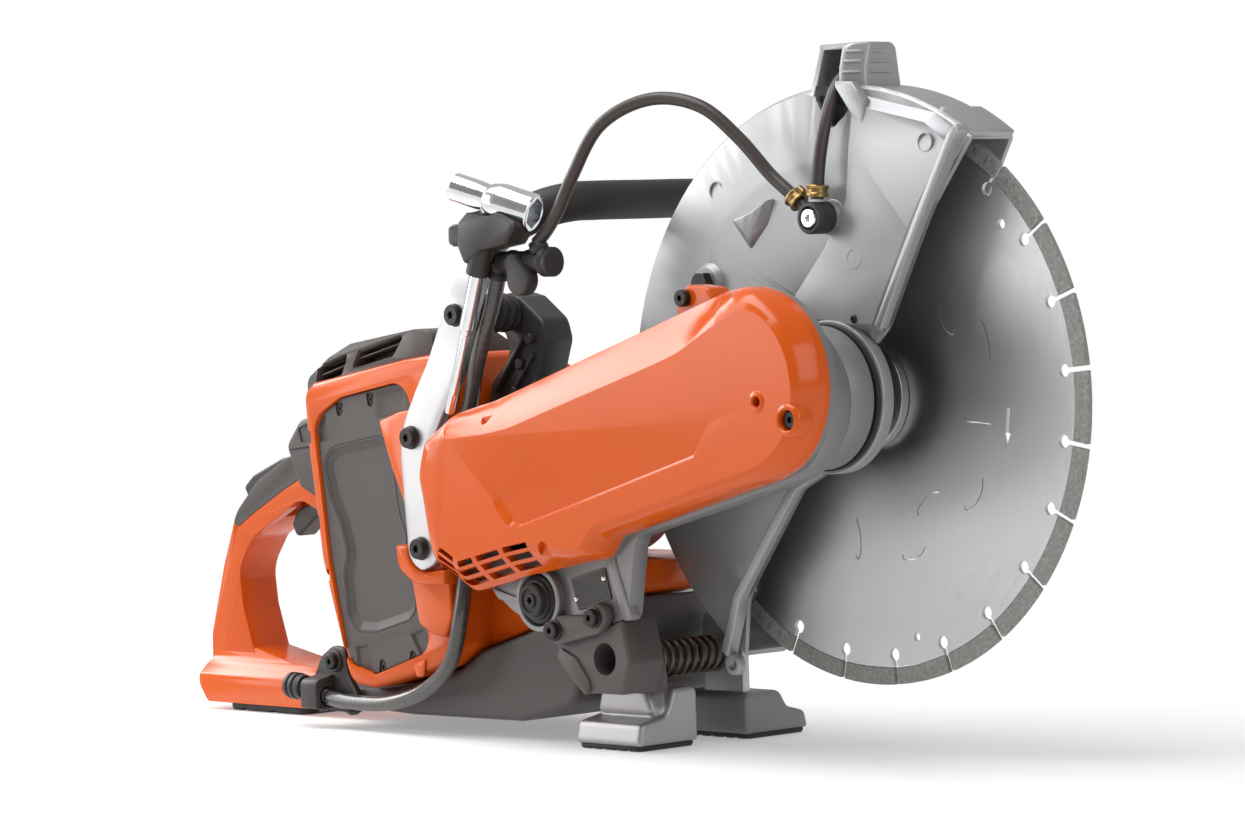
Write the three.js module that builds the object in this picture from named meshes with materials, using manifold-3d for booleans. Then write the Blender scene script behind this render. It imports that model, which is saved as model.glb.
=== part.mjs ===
// Battery concrete cut-off saw, 350 mm blade. Millimetres.
// X points forwards, from the rear handle to the blade; Y to the operator's left; Z up.
// Every piece is drawn about the spindle, whose axis is the line x = 0, z = 0 along Y. The whole
// saw is then lifted and shifted, so that the origin is at the centre of its footprint.
import * as THREE from 'three';
import { mergeVertices } from 'three/addons/utils/BufferGeometryUtils.js';
import Module from 'manifold-3d';

const wasm = await Module();
wasm.setup();

// ---- Driving dimensions ----
const SPINDLE_HEIGHT = 217;
const FOOTPRINT_CENTRE_X = -230;
const FOOTPRINT_CENTRE_Y = -5.95;
const GAP = 0.3;

const BLADE_RADIUS = 175;
const BLADE_CORE_RADIUS = 164;
const BLADE_CORE_HALF = 1.3;
const SEGMENT_HALF = 1.7;
const SEGMENTS = 24;
const SEGMENT_PITCH = 360 / SEGMENTS;
const FIRST_SLOT_DEG = 5;
const KEYHOLE_AT = 156.8;
const KEYHOLE_RADIUS = 4;
const SLOT_HALF = 1.5;
const FLANGE_RADIUS = 33;
const SHAFT_RADIUS = 12.4;
const JOURNAL_RADIUS = 14.7;

const MOTOR_X = -232;
const MOTOR_Z = -55;
const DRIVEN_PULLEY_RADIUS = 38;
const DRIVE_PULLEY_RADIUS = 19;
const BELT_THICKNESS = 4;
const PULLEY_NEAR = -106;
const PULLEY_FAR = -90;
const BELT_NEAR = -105;
const BELT_FAR = -91;

const COVER_FACE = -115;
const COVER_BACK = -87.4;
const COVER_WALL = 3.5;
const ARM_NEAR = -87;
const ARM_FAR = -70;
const NOSE_RADIUS = 43;
const NOSE_STEP = -40;
const NOSE_END = -25;
const NOSE_END_RADIUS = 38;

const GUARD_RADIUS = 186;
const GUARD_WALL = 3;
const GUARD_NEAR = -30;
const GUARD_FAR = 17;

const BODY_NEAR = -75;
const BODY_FAR = 76;
const HANDLE_HALF = 16;
const LEG_NEAR = -88;
const LEG_FAR = -79;
const LEFT_LEG_NEAR = 96;
const LEFT_LEG_FAR = 105;
const GRIP_X = -203;
const GRIP_Z = 124;
const TUBE_RADIUS = 10;
const SLEEVE_RADIUS = 12.4;

const WRENCH_Y = -99;
const WRENCH_TOP = [-229, 118];
const WRENCH_TIP = [-274, -7];

const SPRAY_X = 2;
const SPRAY_Z = 107;
const HOSE_RADIUS = 4;
const FEED_RADIUS = 5;

const DEG = Math.PI / 180;

// ---- Shape helpers ----
function toSolid(geometry) {
  const bare = geometry.clone();
  bare.deleteAttribute('normal');
  bare.deleteAttribute('uv');
  const merged = mergeVertices(bare, 1e-4);
  const vertProperties = Float32Array.from(merged.attributes.position.array);
  const triVerts = Uint32Array.from(merged.index.array);
  if (signedVolume(vertProperties, triVerts) < 0) {
    for (let i = 0; i < triVerts.length; i += 3) {
      [triVerts[i], triVerts[i + 1]] = [triVerts[i + 1], triVerts[i]];
    }
  }
  return new wasm.Manifold(new wasm.Mesh({ numProp: 3, vertProperties, triVerts }));
}

function signedVolume(positions, triangles) {
  let volume = 0;
  for (let i = 0; i < triangles.length; i += 3) {
    const [a, b, c] = [0, 1, 2].map((k) => {
      const v = 3 * triangles[i + k];
      return new THREE.Vector3(positions[v], positions[v + 1], positions[v + 2]);
    });
    volume += a.dot(b.cross(c)) / 6;
  }
  return volume;
}

function toGeometry(solid) {
  const mesh = solid.getMesh();
  const geometry = new THREE.BufferGeometry();
  geometry.setAttribute('position', new THREE.BufferAttribute(mesh.vertProperties, 3));
  geometry.setIndex(new THREE.BufferAttribute(mesh.triVerts, 1));
  geometry.computeVertexNormals();
  return geometry;
}

function join(...solids) {
  return solids.reduce((sum, solid) => sum.add(solid));
}

function cut(solid, ...tools) {
  return tools.reduce((rest, tool) => rest.subtract(tool), solid);
}

// Corners are [u, v] or [u, v, radius]; each radius is drawn as a tangent arc.
function rounded(corners, stepDeg = 30) {
  const points = [];
  corners.forEach((corner, i) => {
    const here = new THREE.Vector2(corner[0], corner[1]);
    const radius = corner[2] ?? 0;
    if (radius === 0) {
      points.push(here);
      return;
    }
    const before = corners[(i + corners.length - 1) % corners.length];
    const after = corners[(i + 1) % corners.length];
    const back = new THREE.Vector2(before[0], before[1]).sub(here).normalize();
    const forth = new THREE.Vector2(after[0], after[1]).sub(here).normalize();
    const angle = Math.acos(THREE.MathUtils.clamp(back.dot(forth), -1, 1));
    const reach = radius / Math.tan(angle / 2);
    const bisector = back.clone().add(forth).normalize();
    const centre = bisector.multiplyScalar(radius / Math.sin(angle / 2)).add(here);
    const start = back.clone().multiplyScalar(reach).add(here).sub(centre);
    const end = forth.clone().multiplyScalar(reach).add(here).sub(centre);
    const turn = Math.atan2(start.cross(end), start.dot(end));
    const steps = Math.max(2, Math.ceil(Math.abs(turn) / DEG / stepDeg));
    for (let k = 0; k <= steps; k += 1) {
      points.push(start.clone().rotateAround(new THREE.Vector2(), turn * k / steps).add(centre));
    }
  });
  return points;
}

function arc(cx, cz, radius, fromDeg, toDeg, steps) {
  return Array.from({ length: steps + 1 }, (_, k) => {
    const angle = (fromDeg + (toDeg - fromDeg) * k / steps) * DEG;
    return [cx + radius * Math.cos(angle), cz + radius * Math.sin(angle)];
  });
}

// A solid whose X-Z outline runs along Y from near to far.
function slab(corners, near, far) {
  const shape = new THREE.Shape(rounded(corners));
  const geometry = new THREE.ExtrudeGeometry(shape, { depth: far - near, bevelEnabled: false });
  geometry.rotateX(Math.PI / 2);
  geometry.translate(0, far, 0);
  return toSolid(geometry);
}

// A solid whose Y-Z outline runs along X from rear to front.
function crossSlab(corners, rear, front) {
  const shape = new THREE.Shape(rounded(corners));
  const geometry = new THREE.ExtrudeGeometry(shape, { depth: front - rear, bevelEnabled: false });
  geometry.rotateX(Math.PI / 2);
  geometry.rotateZ(Math.PI / 2);
  geometry.translate(rear, 0, 0);
  return toSolid(geometry);
}

// Turned about an axis along Y through (cx, cz); the profile's pairs are [radius, y].
function turned(profile, cx = 0, cz = 0, sides = 24) {
  const points = profile.map(([radius, y]) => new THREE.Vector2(radius, y));
  if (profile[0][0] > 0) {
    points.push(points[0].clone());
  }
  const geometry = new THREE.LatheGeometry(points, sides);
  geometry.translate(cx, 0, cz);
  return toSolid(geometry);
}

function rod(cx, cz, radius, near, far, sides = 16) {
  return turned([[0, near], [radius, near], [radius, far], [0, far]], cx, cz, sides);
}

function block(x0, x1, y0, y1, z0, z1) {
  const geometry = new THREE.BoxGeometry(x1 - x0, y1 - y0, z1 - z0);
  geometry.translate((x0 + x1) / 2, (y0 + y1) / 2, (z0 + z1) / 2);
  return toSolid(geometry);
}

function sweep(points, radius, steps, sides = 10) {
  const path = new THREE.CatmullRomCurve3(points.map((p) => new THREE.Vector3(...p)), false, 'centripetal');
  const section = new THREE.Shape(arc(0, 0, radius, 0, 360 - 360 / sides, sides - 1)
    .map(([u, v]) => new THREE.Vector2(u, v)));
  return toSolid(new THREE.ExtrudeGeometry(section, { steps, extrudePath: path, bevelEnabled: false }));
}

// A rod or tube between two points in space.
function strut(from, to, radius, bore = 0, sides = 12) {
  const start = new THREE.Vector3(...from);
  const end = new THREE.Vector3(...to);
  const length = start.distanceTo(end);
  const profile = bore > 0
    ? [[bore, 0], [radius, 0], [radius, length], [bore, length]]
    : [[0, 0], [radius, 0], [radius, length], [0, length]];
  const turn = new THREE.Quaternion().setFromUnitVectors(
    new THREE.Vector3(0, 1, 0), end.clone().sub(start).normalize());
  const geometry = toGeometry(turned(profile, 0, 0, sides));
  geometry.applyQuaternion(turn);
  geometry.translate(...start.toArray());
  return toSolid(geometry);
}

// The outline of a belt, or of a casting, that wraps two circles.
function wrap(x0, z0, r0, x1, z1, r1, steps = 12) {
  const apart = Math.hypot(x1 - x0, z1 - z0);
  const heading = Math.atan2(z1 - z0, x1 - x0) / DEG;
  const lean = Math.acos((r0 - r1) / apart) / DEG;
  return [
    ...arc(x0, z0, r0, heading + lean, heading - lean + 360, steps),
    ...arc(x1, z1, r1, heading - lean, heading + lean, steps),
  ];
}

// Moves every side of an outline inwards by the same distance.
function inset(corners, distance) {
  const count = corners.length;
  const area = corners.reduce((sum, [u, v], i) => {
    const [p, q] = corners[(i + 1) % count];
    return sum + u * q - p * v;
  }, 0);
  const inward = Math.sign(area);
  return corners.map((corner, i) => {
    const here = new THREE.Vector2(corner[0], corner[1]);
    const before = corners[(i + count - 1) % count];
    const after = corners[(i + 1) % count];
    const a = here.clone().sub(new THREE.Vector2(before[0], before[1])).normalize();
    const b = new THREE.Vector2(after[0], after[1]).sub(here).normalize();
    const na = new THREE.Vector2(-a.y, a.x).multiplyScalar(inward);
    const nb = new THREE.Vector2(-b.y, b.x).multiplyScalar(inward);
    const bisector = na.add(nb).normalize();
    const shift = distance / Math.max(0.3, bisector.dot(nb));
    const radius = Math.max(0, (corner[2] ?? 0) - distance);
    return [here.x + bisector.x * shift, here.y + bisector.y * shift, radius];
  });
}

// ---- Materials ----
function finish(color, roughness, metalness) {
  return new THREE.MeshStandardMaterial({ color, roughness, metalness });
}

const ORANGE = finish(0xd66e3c, 0.3, 0);
const DARK_PLASTIC = finish(0x5c5855, 0.55, 0);
const BLACK_PLASTIC = finish(0x2c2a28, 0.5, 0);
const RUBBER = finish(0x1e1c1b, 0.8, 0);
const CAST_METAL = finish(0xa5a6a8, 0.4, 0.8);
const SATIN_ALUMINIUM = finish(0xd0d0d2, 0.35, 0.9);
const BRUSHED_STEEL = finish(0x9c9ea0, 0.35, 1);
const DARK_STEEL = finish(0x33312f, 0.45, 0.8);
const CHROME = finish(0xdcdcdc, 0.12, 1);
const BRASS = finish(0xb08a4a, 0.35, 1);
const BLUE = finish(0x2c3f9a, 0.4, 0);
const COPPER = finish(0xb06a3a, 0.4, 0.9);

// ---- Blade and spindle ----
function bladeDisc() {
  const outline = [];
  for (let k = 0; k < SEGMENTS; k += 1) {
    const slotDeg = FIRST_SLOT_DEG + SEGMENT_PITCH * k;
    const turn = slotDeg * DEG;
    const neck = KEYHOLE_AT + KEYHOLE_RADIUS;
    const local = [
      [BLADE_CORE_RADIUS, -SLOT_HALF],
      [neck, -SLOT_HALF],
      ...arc(KEYHOLE_AT, 0, KEYHOLE_RADIUS, -45, -315, 4),
      [neck, SLOT_HALF],
      [BLADE_CORE_RADIUS, SLOT_HALF],
    ];
    local.forEach(([u, v]) => {
      outline.push([
        u * Math.cos(turn) - v * Math.sin(turn),
        u * Math.sin(turn) + v * Math.cos(turn),
      ]);
    });
    outline.push(...arc(0, 0, BLADE_CORE_RADIUS, slotDeg + 5, slotDeg + 10, 1));
  }
  return cut(slab(outline, -BLADE_CORE_HALF, BLADE_CORE_HALF), rod(0, 0, SHAFT_RADIUS + GAP, -9, 9));
}

function bladeSegment(slotDeg) {
  const edge = Math.asin(SLOT_HALF / BLADE_RADIUS) / DEG;
  const from = slotDeg + edge;
  const to = slotDeg + SEGMENT_PITCH - edge;
  const outline = [
    ...arc(0, 0, BLADE_RADIUS, from, to, 2),
    ...arc(0, 0, BLADE_CORE_RADIUS - 0.6, to, from, 1),
  ];
  return slab(outline, -SEGMENT_HALF, SEGMENT_HALF);
}

function blade() {
  let disc = bladeDisc();
  for (let k = 0; k < SEGMENTS; k += 1) {
    disc = disc.add(bladeSegment(FIRST_SLOT_DEG + SEGMENT_PITCH * k));
  }
  return disc;
}

function flangeInner() {
  const bore = SHAFT_RADIUS + GAP;
  return turned([
    [bore, -12.5], [22, -12.5], [FLANGE_RADIUS, -8], [FLANGE_RADIUS, -1.6], [26, -1.6], [26, -3], [bore, -3],
  ]);
}

function flangeOuter() {
  const bore = SHAFT_RADIUS + GAP;
  return turned([
    [bore, 3], [26, 3], [26, 1.6], [FLANGE_RADIUS, 1.6], [FLANGE_RADIUS, 7], [22, 11.3],
    [5, 11.3], [5, 5.3], [bore, 5.3],
  ]);
}

function spindleShaft() {
  return turned([
    [0, -108], [10, -108], [10, -87], [JOURNAL_RADIUS, -87], [JOURNAL_RADIUS, -13],
    [SHAFT_RADIUS, -13], [SHAFT_RADIUS, 5], [4.6, 5], [4.6, -20], [0, -20],
  ], 0, 0, 20);
}

function bladeBolt() {
  const head = turned([[0, 11.6], [10, 11.6], [10, 18], [9, 19], [0, 19]], 0, 0, 6);
  return join(head, rod(0, 0, 4.3, -18, 12, 12));
}

function pulley(cx, cz, radius, bore) {
  return turned([
    [bore, PULLEY_NEAR + 4], [radius - 8, PULLEY_NEAR + 4], [radius - 8, PULLEY_NEAR],
    [radius, PULLEY_NEAR], [radius, PULLEY_FAR], [bore, PULLEY_FAR],
  ], cx, cz, 24);
}

function bearing(near, far) {
  return turned([[15, near], [23.7, near], [23.7, far], [15, far]]);
}

function driveBelt() {
  const inside = 3 * GAP;
  const outside = inside + BELT_THICKNESS;
  const loop = (grow) => wrap(
    0, 0, DRIVEN_PULLEY_RADIUS + grow, MOTOR_X, MOTOR_Z, DRIVE_PULLEY_RADIUS + grow);
  return cut(slab(loop(outside), BELT_NEAR, BELT_FAR), slab(loop(inside), BELT_NEAR - 1, BELT_FAR + 1));
}

// ---- Arm, cover and motor ----
function armCasting() {
  const plate = slab(wrap(0, 0, 50, MOTOR_X, MOTOR_Z, 54), ARM_NEAR, ARM_FAR);
  const lobe = slab([
    [-262, -96], [-252, -119, 4], [-234, -131, 6], [-206, -143, 8], [-183, -146.5, 4],
    [-150, -138.5, 3], [-128, -132, 3], [-120, -88], [-108, -66], [-200, -60],
  ], ARM_NEAR, -61);
  const nose = turned([
    [0, ARM_NEAR], [NOSE_RADIUS, ARM_NEAR], [NOSE_RADIUS, NOSE_STEP],
    [NOSE_END_RADIUS, NOSE_STEP], [NOSE_END_RADIUS, NOSE_END], [0, NOSE_END],
  ], 0, 0, 36);
  const damperRing = rod(-204, -123, 20, -93, -60, 24);
  const spindleBore = rod(0, 0, 24, -90, -20, 24);
  const motorHole = rod(MOTOR_X, MOTOR_Z, 40, -90, -69.4, 24);
  const motorClearance = rod(MOTOR_X, MOTOR_Z, 46.4, -69.6, 0, 32);
  const damperHole = rod(-204, -123, 16, -94, -50, 20);
  return cut(join(plate, lobe, nose, damperRing), spindleBore, motorHole, motorClearance, damperHole);
}

function noseSeal() {
  return turned([[NOSE_END_RADIUS + GAP, -39.7], [44, -39.7], [44, -37.3], [NOSE_END_RADIUS + GAP, -37.3]]);
}

const COVER_OUTLINE = [
  [-19.5, 65.3, 0], ...arc(-2, 10, 58, 95, -60, 8), [15.5, -45.3, 0],
  [-56, -64, 20], [-124, -82, 8], [-134, -95, 8], [-204, -107.4, 20], [-255, -119, 14],
  [-286, -103, 16], [-296.5, -46, 20], [-289, -22, 14], [-268, -7, 12], [-230, 1, 20],
];

const COVER_SCREW = [43, -9.5];

function beltCover() {
  const shell = slab(COVER_OUTLINE, COVER_FACE, COVER_BACK);
  const hollow = slab(inset(COVER_OUTLINE, COVER_WALL), COVER_FACE + COVER_WALL, COVER_BACK + 1);
  const screwHole = rod(COVER_SCREW[0], COVER_SCREW[1], 6.4, COVER_FACE - 1, COVER_BACK + 1);
  const pin = rod(-204, -123, 20.6, -94, -80, 20);
  return cut(shell, hollow, screwHole, pin);
}

function motorCasing() {
  return turned([
    [0, 18], [43, 18], [46, 15], [46, -69], [41.4, -69], [41.4, 14.5], [0, 14.5],
  ], MOTOR_X, MOTOR_Z, 32);
}

function motorStator() {
  return turned([[25, -50], [41, -50], [41, 0], [25, 0]], MOTOR_X, MOTOR_Z, 24);
}

function motorRotor() {
  return turned([
    [0, -108], [8, -108], [8, -48], [24, -48], [24, -2], [8, -2], [8, 13], [0, 13],
  ], MOTOR_X, MOTOR_Z, 20);
}

function coolingFan() {
  const bladeCount = 9;
  const outline = [];
  for (let k = 0; k < bladeCount; k += 1) {
    const root = 360 / bladeCount * k;
    outline.push(...arc(MOTOR_X, MOTOR_Z, 15, root - 12, root + 4, 1));
    outline.push(...arc(MOTOR_X, MOTOR_Z, 37, root + 14, root + 20, 1));
  }
  return cut(slab(outline, -66, -54), rod(MOTOR_X, MOTOR_Z, 8.3, -67, -53));
}

function damperPlug() {
  return turned([
    [0, -96], [7, -96], [9, -94], [13, -94], [15.6, -91], [15.6, -62], [0, -62],
  ], -204, -123, 20);
}

function typePlate() {
  return slab([[-177.9, -109.3], [-146.5, -101.6], [-141.2, -121.1], [-171.6, -128.9]], -88.3, ARM_NEAR - GAP);
}

// ---- Feet ----
function footBracket() {
  const ears = slab([[-192, -141, 4], [-187, -151, 4], [-140, -140, 4], [-138, -124, 5], [-150, -125.5, 4]],
    -94, ARM_NEAR - GAP);
  const post = slab([
    [-194, -146.5], [-183, -147.4], [-150, -139.3], [-131, -133], [-124, -160, 6], [-132, -179.7],
    [-168, -179.7], [-190, -154, 6],
  ], -90, -40.3);
  const pocket = rod(-145, -158, 9, -95, -60, 16);
  return cut(join(ears, post), pocket);
}

function footSpring() {
  const turns = 8;
  const stepsPerTurn = 7;
  const centres = [];
  for (let k = 0; k <= turns * stepsPerTurn; k += 1) {
    const angle = k / stepsPerTurn * 2 * Math.PI;
    centres.push([-158 + 10 * Math.cos(angle), -38 + 56 * k / (turns * stepsPerTurn), -163 + 10 * Math.sin(angle)]);
  }
  return sweep(centres, 1.8, turns * stepsPerTurn, 5);
}

function footRight() {
  return crossSlab([
    [-20, -180, 4], [-40, -180, 6], [-46, -196, 6], [-68, -200, 4], [-71, -214.3], [-20, -214.3],
  ], -198, -139);
}

function footLeft() {
  const shoe = crossSlab([
    [16, -188, 4], [46, -188, 6], [53, -199, 6], [68, -203, 4], [71, -214.3], [16, -214.3],
  ], -192, -133);
  const upright = slab([[-176, -140, 6], [-150, -132, 6], [-140, -150], [-140, -190], [-176, -190]], 21, 27);
  return join(shoe, upright);
}

function footSole(rear, near, far) {
  const pad = block(rear, rear + 56, near, far, -SPINDLE_HEIGHT, -214.6);
  const grooves = [12, 22, 34, 44].map((x) => block(rear + x - 2, rear + x + 2, near - 1, far + 1, -218, -216));
  return cut(pad, ...grooves);
}

// ---- Guard ----
function guardSector() {
  return slab([
    [132, 190], [107, 151], [86, 114.5], [76, 98], [44, 40], [0, 0], [8, -37], [-31, -56],
    [-83, -124], [-98, -167], [-112, -200], [-260, -200], [-260, 260], [132, 260],
  ], -60, 40);
}

function guardHood() {
  const outside = crossSlab([
    [-27, 150], [-24, 196], [-20, 211, 6], [10, 211, 6], [14.8, 182], [14.8, 150],
  ], -20, 20);
  const inside = crossSlab([
    [-23, 140], [-20, 190], [-16.5, 207, 4], [6.5, 207, 4], [10.5, 182], [10.5, 140],
  ], -21, 16);
  return { outside, inside };
}

function guard() {
  const shell = turned([
    [48, GUARD_NEAR], [140, GUARD_NEAR], [GUARD_RADIUS, -20], [GUARD_RADIUS, GUARD_FAR - 3],
    [GUARD_RADIUS - 3, GUARD_FAR], [146, GUARD_FAR], [146, GUARD_FAR - GUARD_WALL],
    [GUARD_RADIUS - GUARD_WALL, GUARD_FAR - GUARD_WALL], [GUARD_RADIUS - GUARD_WALL, -18],
    [140, GUARD_NEAR + GUARD_WALL], [44, GUARD_NEAR + GUARD_WALL], [44, GUARD_NEAR],
  ], 0, 0, 60);
  const collar = turned([
    [NOSE_END_RADIUS + 1, -36.8], [46, -36.8], [46, GUARD_NEAR + GUARD_WALL], [NOSE_END_RADIUS + 1, -27],
  ], 0, 0, 36);
  const hood = guardHood();
  const body = join(shell.intersect(guardSector()), collar, cut(hood.outside, rod(0, 0, 182, -60, 60, 60)));
  const boss = rod(-105, 70, 11, -34, -29, 16);
  const anchor = rod(SPRAY_X, SPRAY_Z, 10, -36, -29, 16);
  const opening = hood.inside.subtract(rod(0, 0, 185.9, -60, 60, 60));
  const bossHole = rod(-105, 70, 3.4, -40, -20, 10);
  const hosePass = block(-5, 9, -33, -6, 176, 200);
  return cut(join(body, boss, anchor), opening, bossHole, hosePass);
}

// ---- Water supply ----
function waterBanjo() {
  const head = rod(SPRAY_X, SPRAY_Z, 9.6, -51, -36.3, 18);
  return cut(head, rod(SPRAY_X, SPRAY_Z, 6.6, -52, -47, 14));
}

function banjoBolt() {
  return rod(SPRAY_X, SPRAY_Z, 6.2, -52, -47.3, 14);
}

const SUPPLY_END = [-7.5, -43, 113.5];
const SPRAY_START = [2.4, -43, 118];

function hoseClamp(centre, towards) {
  const along = new THREE.Vector3(...towards).normalize().multiplyScalar(3.5);
  const middle = new THREE.Vector3(...centre);
  return strut(middle.clone().sub(along).toArray(), middle.clone().add(along).toArray(),
    6.8, HOSE_RADIUS + 1.1, 14);
}

function supplyHose() {
  return sweep([
    [-199, -87, 98.6], [-192, -86.5, 104], [-181, -86, 116], [-168, -84, 138], [-147, -78, 169], [-113, -68, 183],
    [-77, -60, 177], [-52, -52, 156], [-33, -46, 134], [-20, -44.47, 123.55], SUPPLY_END,
  ], HOSE_RADIUS, 26, 8);
}

function sprayHose() {
  return sweep([
    SPRAY_START, [3.4, -42, 136], [4, -38, 156], [3, -31, 172], [2, -21, 187], [2, -9, 195], [2, 1, 197],
  ], HOSE_RADIUS, 16, 8);
}

function waterValve() {
  const barrel = strut([-232, -88, 87], [-193, -86, 86.5], 7, 0, 14);
  const cap = strut([-194, -86, 86.5], [-185, -85.6, 86.4], 9.5, 0, 14);
  const disc = slab(wrap(-208, 76, 10, -213, 87, 6, 6), -97, -87);
  return join(barrel, cap, disc);
}

function valveKnob() {
  return strut([-289, -72, 105], [-274.3, -72, 105], 6.5, 0, 12);
}

function feedHose() {
  return sweep([
    [-436, -72, -197], [-421, -72, -198.5], [-373, -74, -197], [-332, -77, -186], [-302, -81, -166],
    [-292, -80, -136], [-293, -74, -108], [-294, -72.5, -60], [-291, -72.5, -20], [-280, -75, 2],
    [-266, -82, 22], [-254, -86, 39], [-243, -87.5, 58], [-235.5, -88, 77],
  ], FEED_RADIUS, 38, 8);
}

function hoseCoupling() {
  return join(
    strut([-477, -72, -190], [-462, -72, -191], 9, 0, 14),
    strut([-463, -72, -191], [-437, -72, -196.5], 5.4, 0, 12));
}

function couplingBracket() {
  const plate = slab([
    [-461, -206, 4], [-462, -186, 4], [-447, -168, 8], [-428, -168, 3], [-416, -206, 4],
  ], -66, -61);
  const clip = block(-456, -440, -82, -62, -204, -185);
  const channel = strut([-480, -72, -190], [-461.5, -72, -191], 9.8, 0, 14);
  const tube = strut([-464, -72, -190.8], [-430, -72, -198], 5.9, 0, 12);
  return cut(join(plate, clip), channel, tube);
}

// ---- Front handle and wrench ----
function legOutline() {
  return [
    [-274, 98, 6], [-250, 90, 6], [-277, 20], [-305.5, -27, 24], [-304, -92, 12], [-318, -107, 12],
    [-334, -94, 12], [-339, -22, 24], [-309, 20],
  ];
}

const SCREW_PLACES = [[-277, 55], [-325, -23], [-319, -94]];

function handleFrame() {
  const right = slab(legOutline(), LEG_NEAR, LEG_FAR);
  const left = slab(legOutline(), LEFT_LEG_NEAR, LEFT_LEG_FAR);
  const middle = (LEG_NEAR + LEG_FAR) / 2;
  const leftMiddle = (LEFT_LEG_NEAR + LEFT_LEG_FAR) / 2;
  const tube = sweep([
    [-272, middle, 72], [-256, middle, 90], [-236, middle + 3, 108], [-215, middle + 16, 120],
    [GRIP_X, middle + 36, GRIP_Z], [GRIP_X, middle + 44, GRIP_Z], [GRIP_X, 0, GRIP_Z],
    [GRIP_X, leftMiddle - 44, GRIP_Z], [GRIP_X, leftMiddle - 36, GRIP_Z],
    [-215, leftMiddle - 16, 120], [-236, leftMiddle - 3, 108], [-256, leftMiddle, 90], [-272, leftMiddle, 72],
  ], TUBE_RADIUS, 20, 8);
  const band = join(
    block(-300, -190, LEG_NEAR - 12, LEG_NEAR, 40, 140),
    block(-300, -190, LEFT_LEG_FAR, LEFT_LEG_FAR + 12, 40, 140));
  const holes = SCREW_PLACES.map(([x, z]) => rod(x, z, 3.4, -110, 100, 10));
  return cut(join(right, left, tube), band, ...holes);
}

function gripSleeve() {
  return turnedAcross(GRIP_X, GRIP_Z, TUBE_RADIUS + 2 * GAP, SLEEVE_RADIUS, -38, 55);
}

function turnedAcross(cx, cz, bore, radius, near, far) {
  return turned([[bore, near], [radius, near], [radius, far], [bore, far]], cx, cz, 20);
}

function legScrew([x, z]) {
  return join(rod(x, z, 7.5, LEG_NEAR - 5, LEG_NEAR - GAP, 12), rod(x, z, 3, LEG_NEAR - 1, LEG_FAR - 0.5, 10));
}

const WRENCH_SWING_DEG = 20;

function wrenchFrame() {
  const [tx, tz] = WRENCH_TOP;
  const [bx, bz] = WRENCH_TIP;
  const length = Math.hypot(tx - bx, tz - bz);
  const along = new THREE.Vector3((tx - bx) / length, 0, (tz - bz) / length);
  const swing = WRENCH_SWING_DEG * DEG;
  const bar = new THREE.Vector3(along.z, 0, -along.x).multiplyScalar(Math.cos(swing));
  bar.y = Math.sin(swing);
  const at = (distance) => along.clone().multiplyScalar(distance).add(new THREE.Vector3(bx, WRENCH_Y, bz));
  const out = (distance, lift = 0) => at(length + 9 + lift).addScaledVector(bar, distance).toArray();
  return { length, at, out };
}

function wrenchHolder() {
  const { length, at, out } = wrenchFrame();
  const saddle = slab([
    [-252, 98], [-252, 112, 5], [-240, 121, 6], [-216, 121, 6], [-196, 110, 4], [-207, 98, 4],
    [-230, 95, 4], [-246, 86, 3],
  ], -107, LEG_NEAR - GAP);
  const arm = block(-274, -250, -95, LEG_NEAR - GAP, 100, 110);
  const ear = block(-274, -267, -90, -64, 100, 110);
  const hole = strut(at(20).toArray(), at(length + 30).toArray(), 5.3, 0, 12);
  const nests = [0, 6, 12].map((lift) => strut(out(-30, lift), out(36, lift), 12.8, 0, 12));
  return cut(join(saddle, arm, ear), hole, ...nests);
}

function wrench() {
  const { length, at, out } = wrenchFrame();
  const shaft = strut(at(54).toArray(), at(length + 6).toArray(), 4.75, 0, 12);
  const tip = strut(at(0).toArray(), at(55).toArray(), 3.2, 0, 10);
  const socket = cut(strut(out(-2), out(31), 12, 0, 12), strut(out(18), out(32), 9.5, 0, 6));
  const small = cut(strut(out(-28), out(0), 9, 0, 12), strut(out(-29), out(-18), 6.5, 0, 6));
  return join(socket, small, shaft, tip);
}

// ---- Rear body ----
const FRAME_OUTLINE = [
  [-450, 6, 12], [-440, 12, 8], [-349, 26.5, 10], [-318, 30, 6], [-304, 30, 6], [-300, -40], [-300, -158, 8],
  [-320, -172, 12], [-388, -188, 8], [-412, -186, 14], [-437, -105], [-447, -33],
];

const PANEL_OUTLINE = [
  [-440, -12, 16], [-412, 2, 12], [-340, 14, 16], [-343, -60], [-343, -126], [-326, -160, 12],
  [-386, -179, 12], [-414, -172, 12], [-429, -105],
];

const BAY = { x0: -428, x1: -344, y0: -65, z0: -158, z1: -22 };

// The top falls away towards the far side.
function shoulder() {
  return crossSlab([[-14, 48], [90, -16], [90, 80], [-14, 80]], -480, -250);
}

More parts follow.
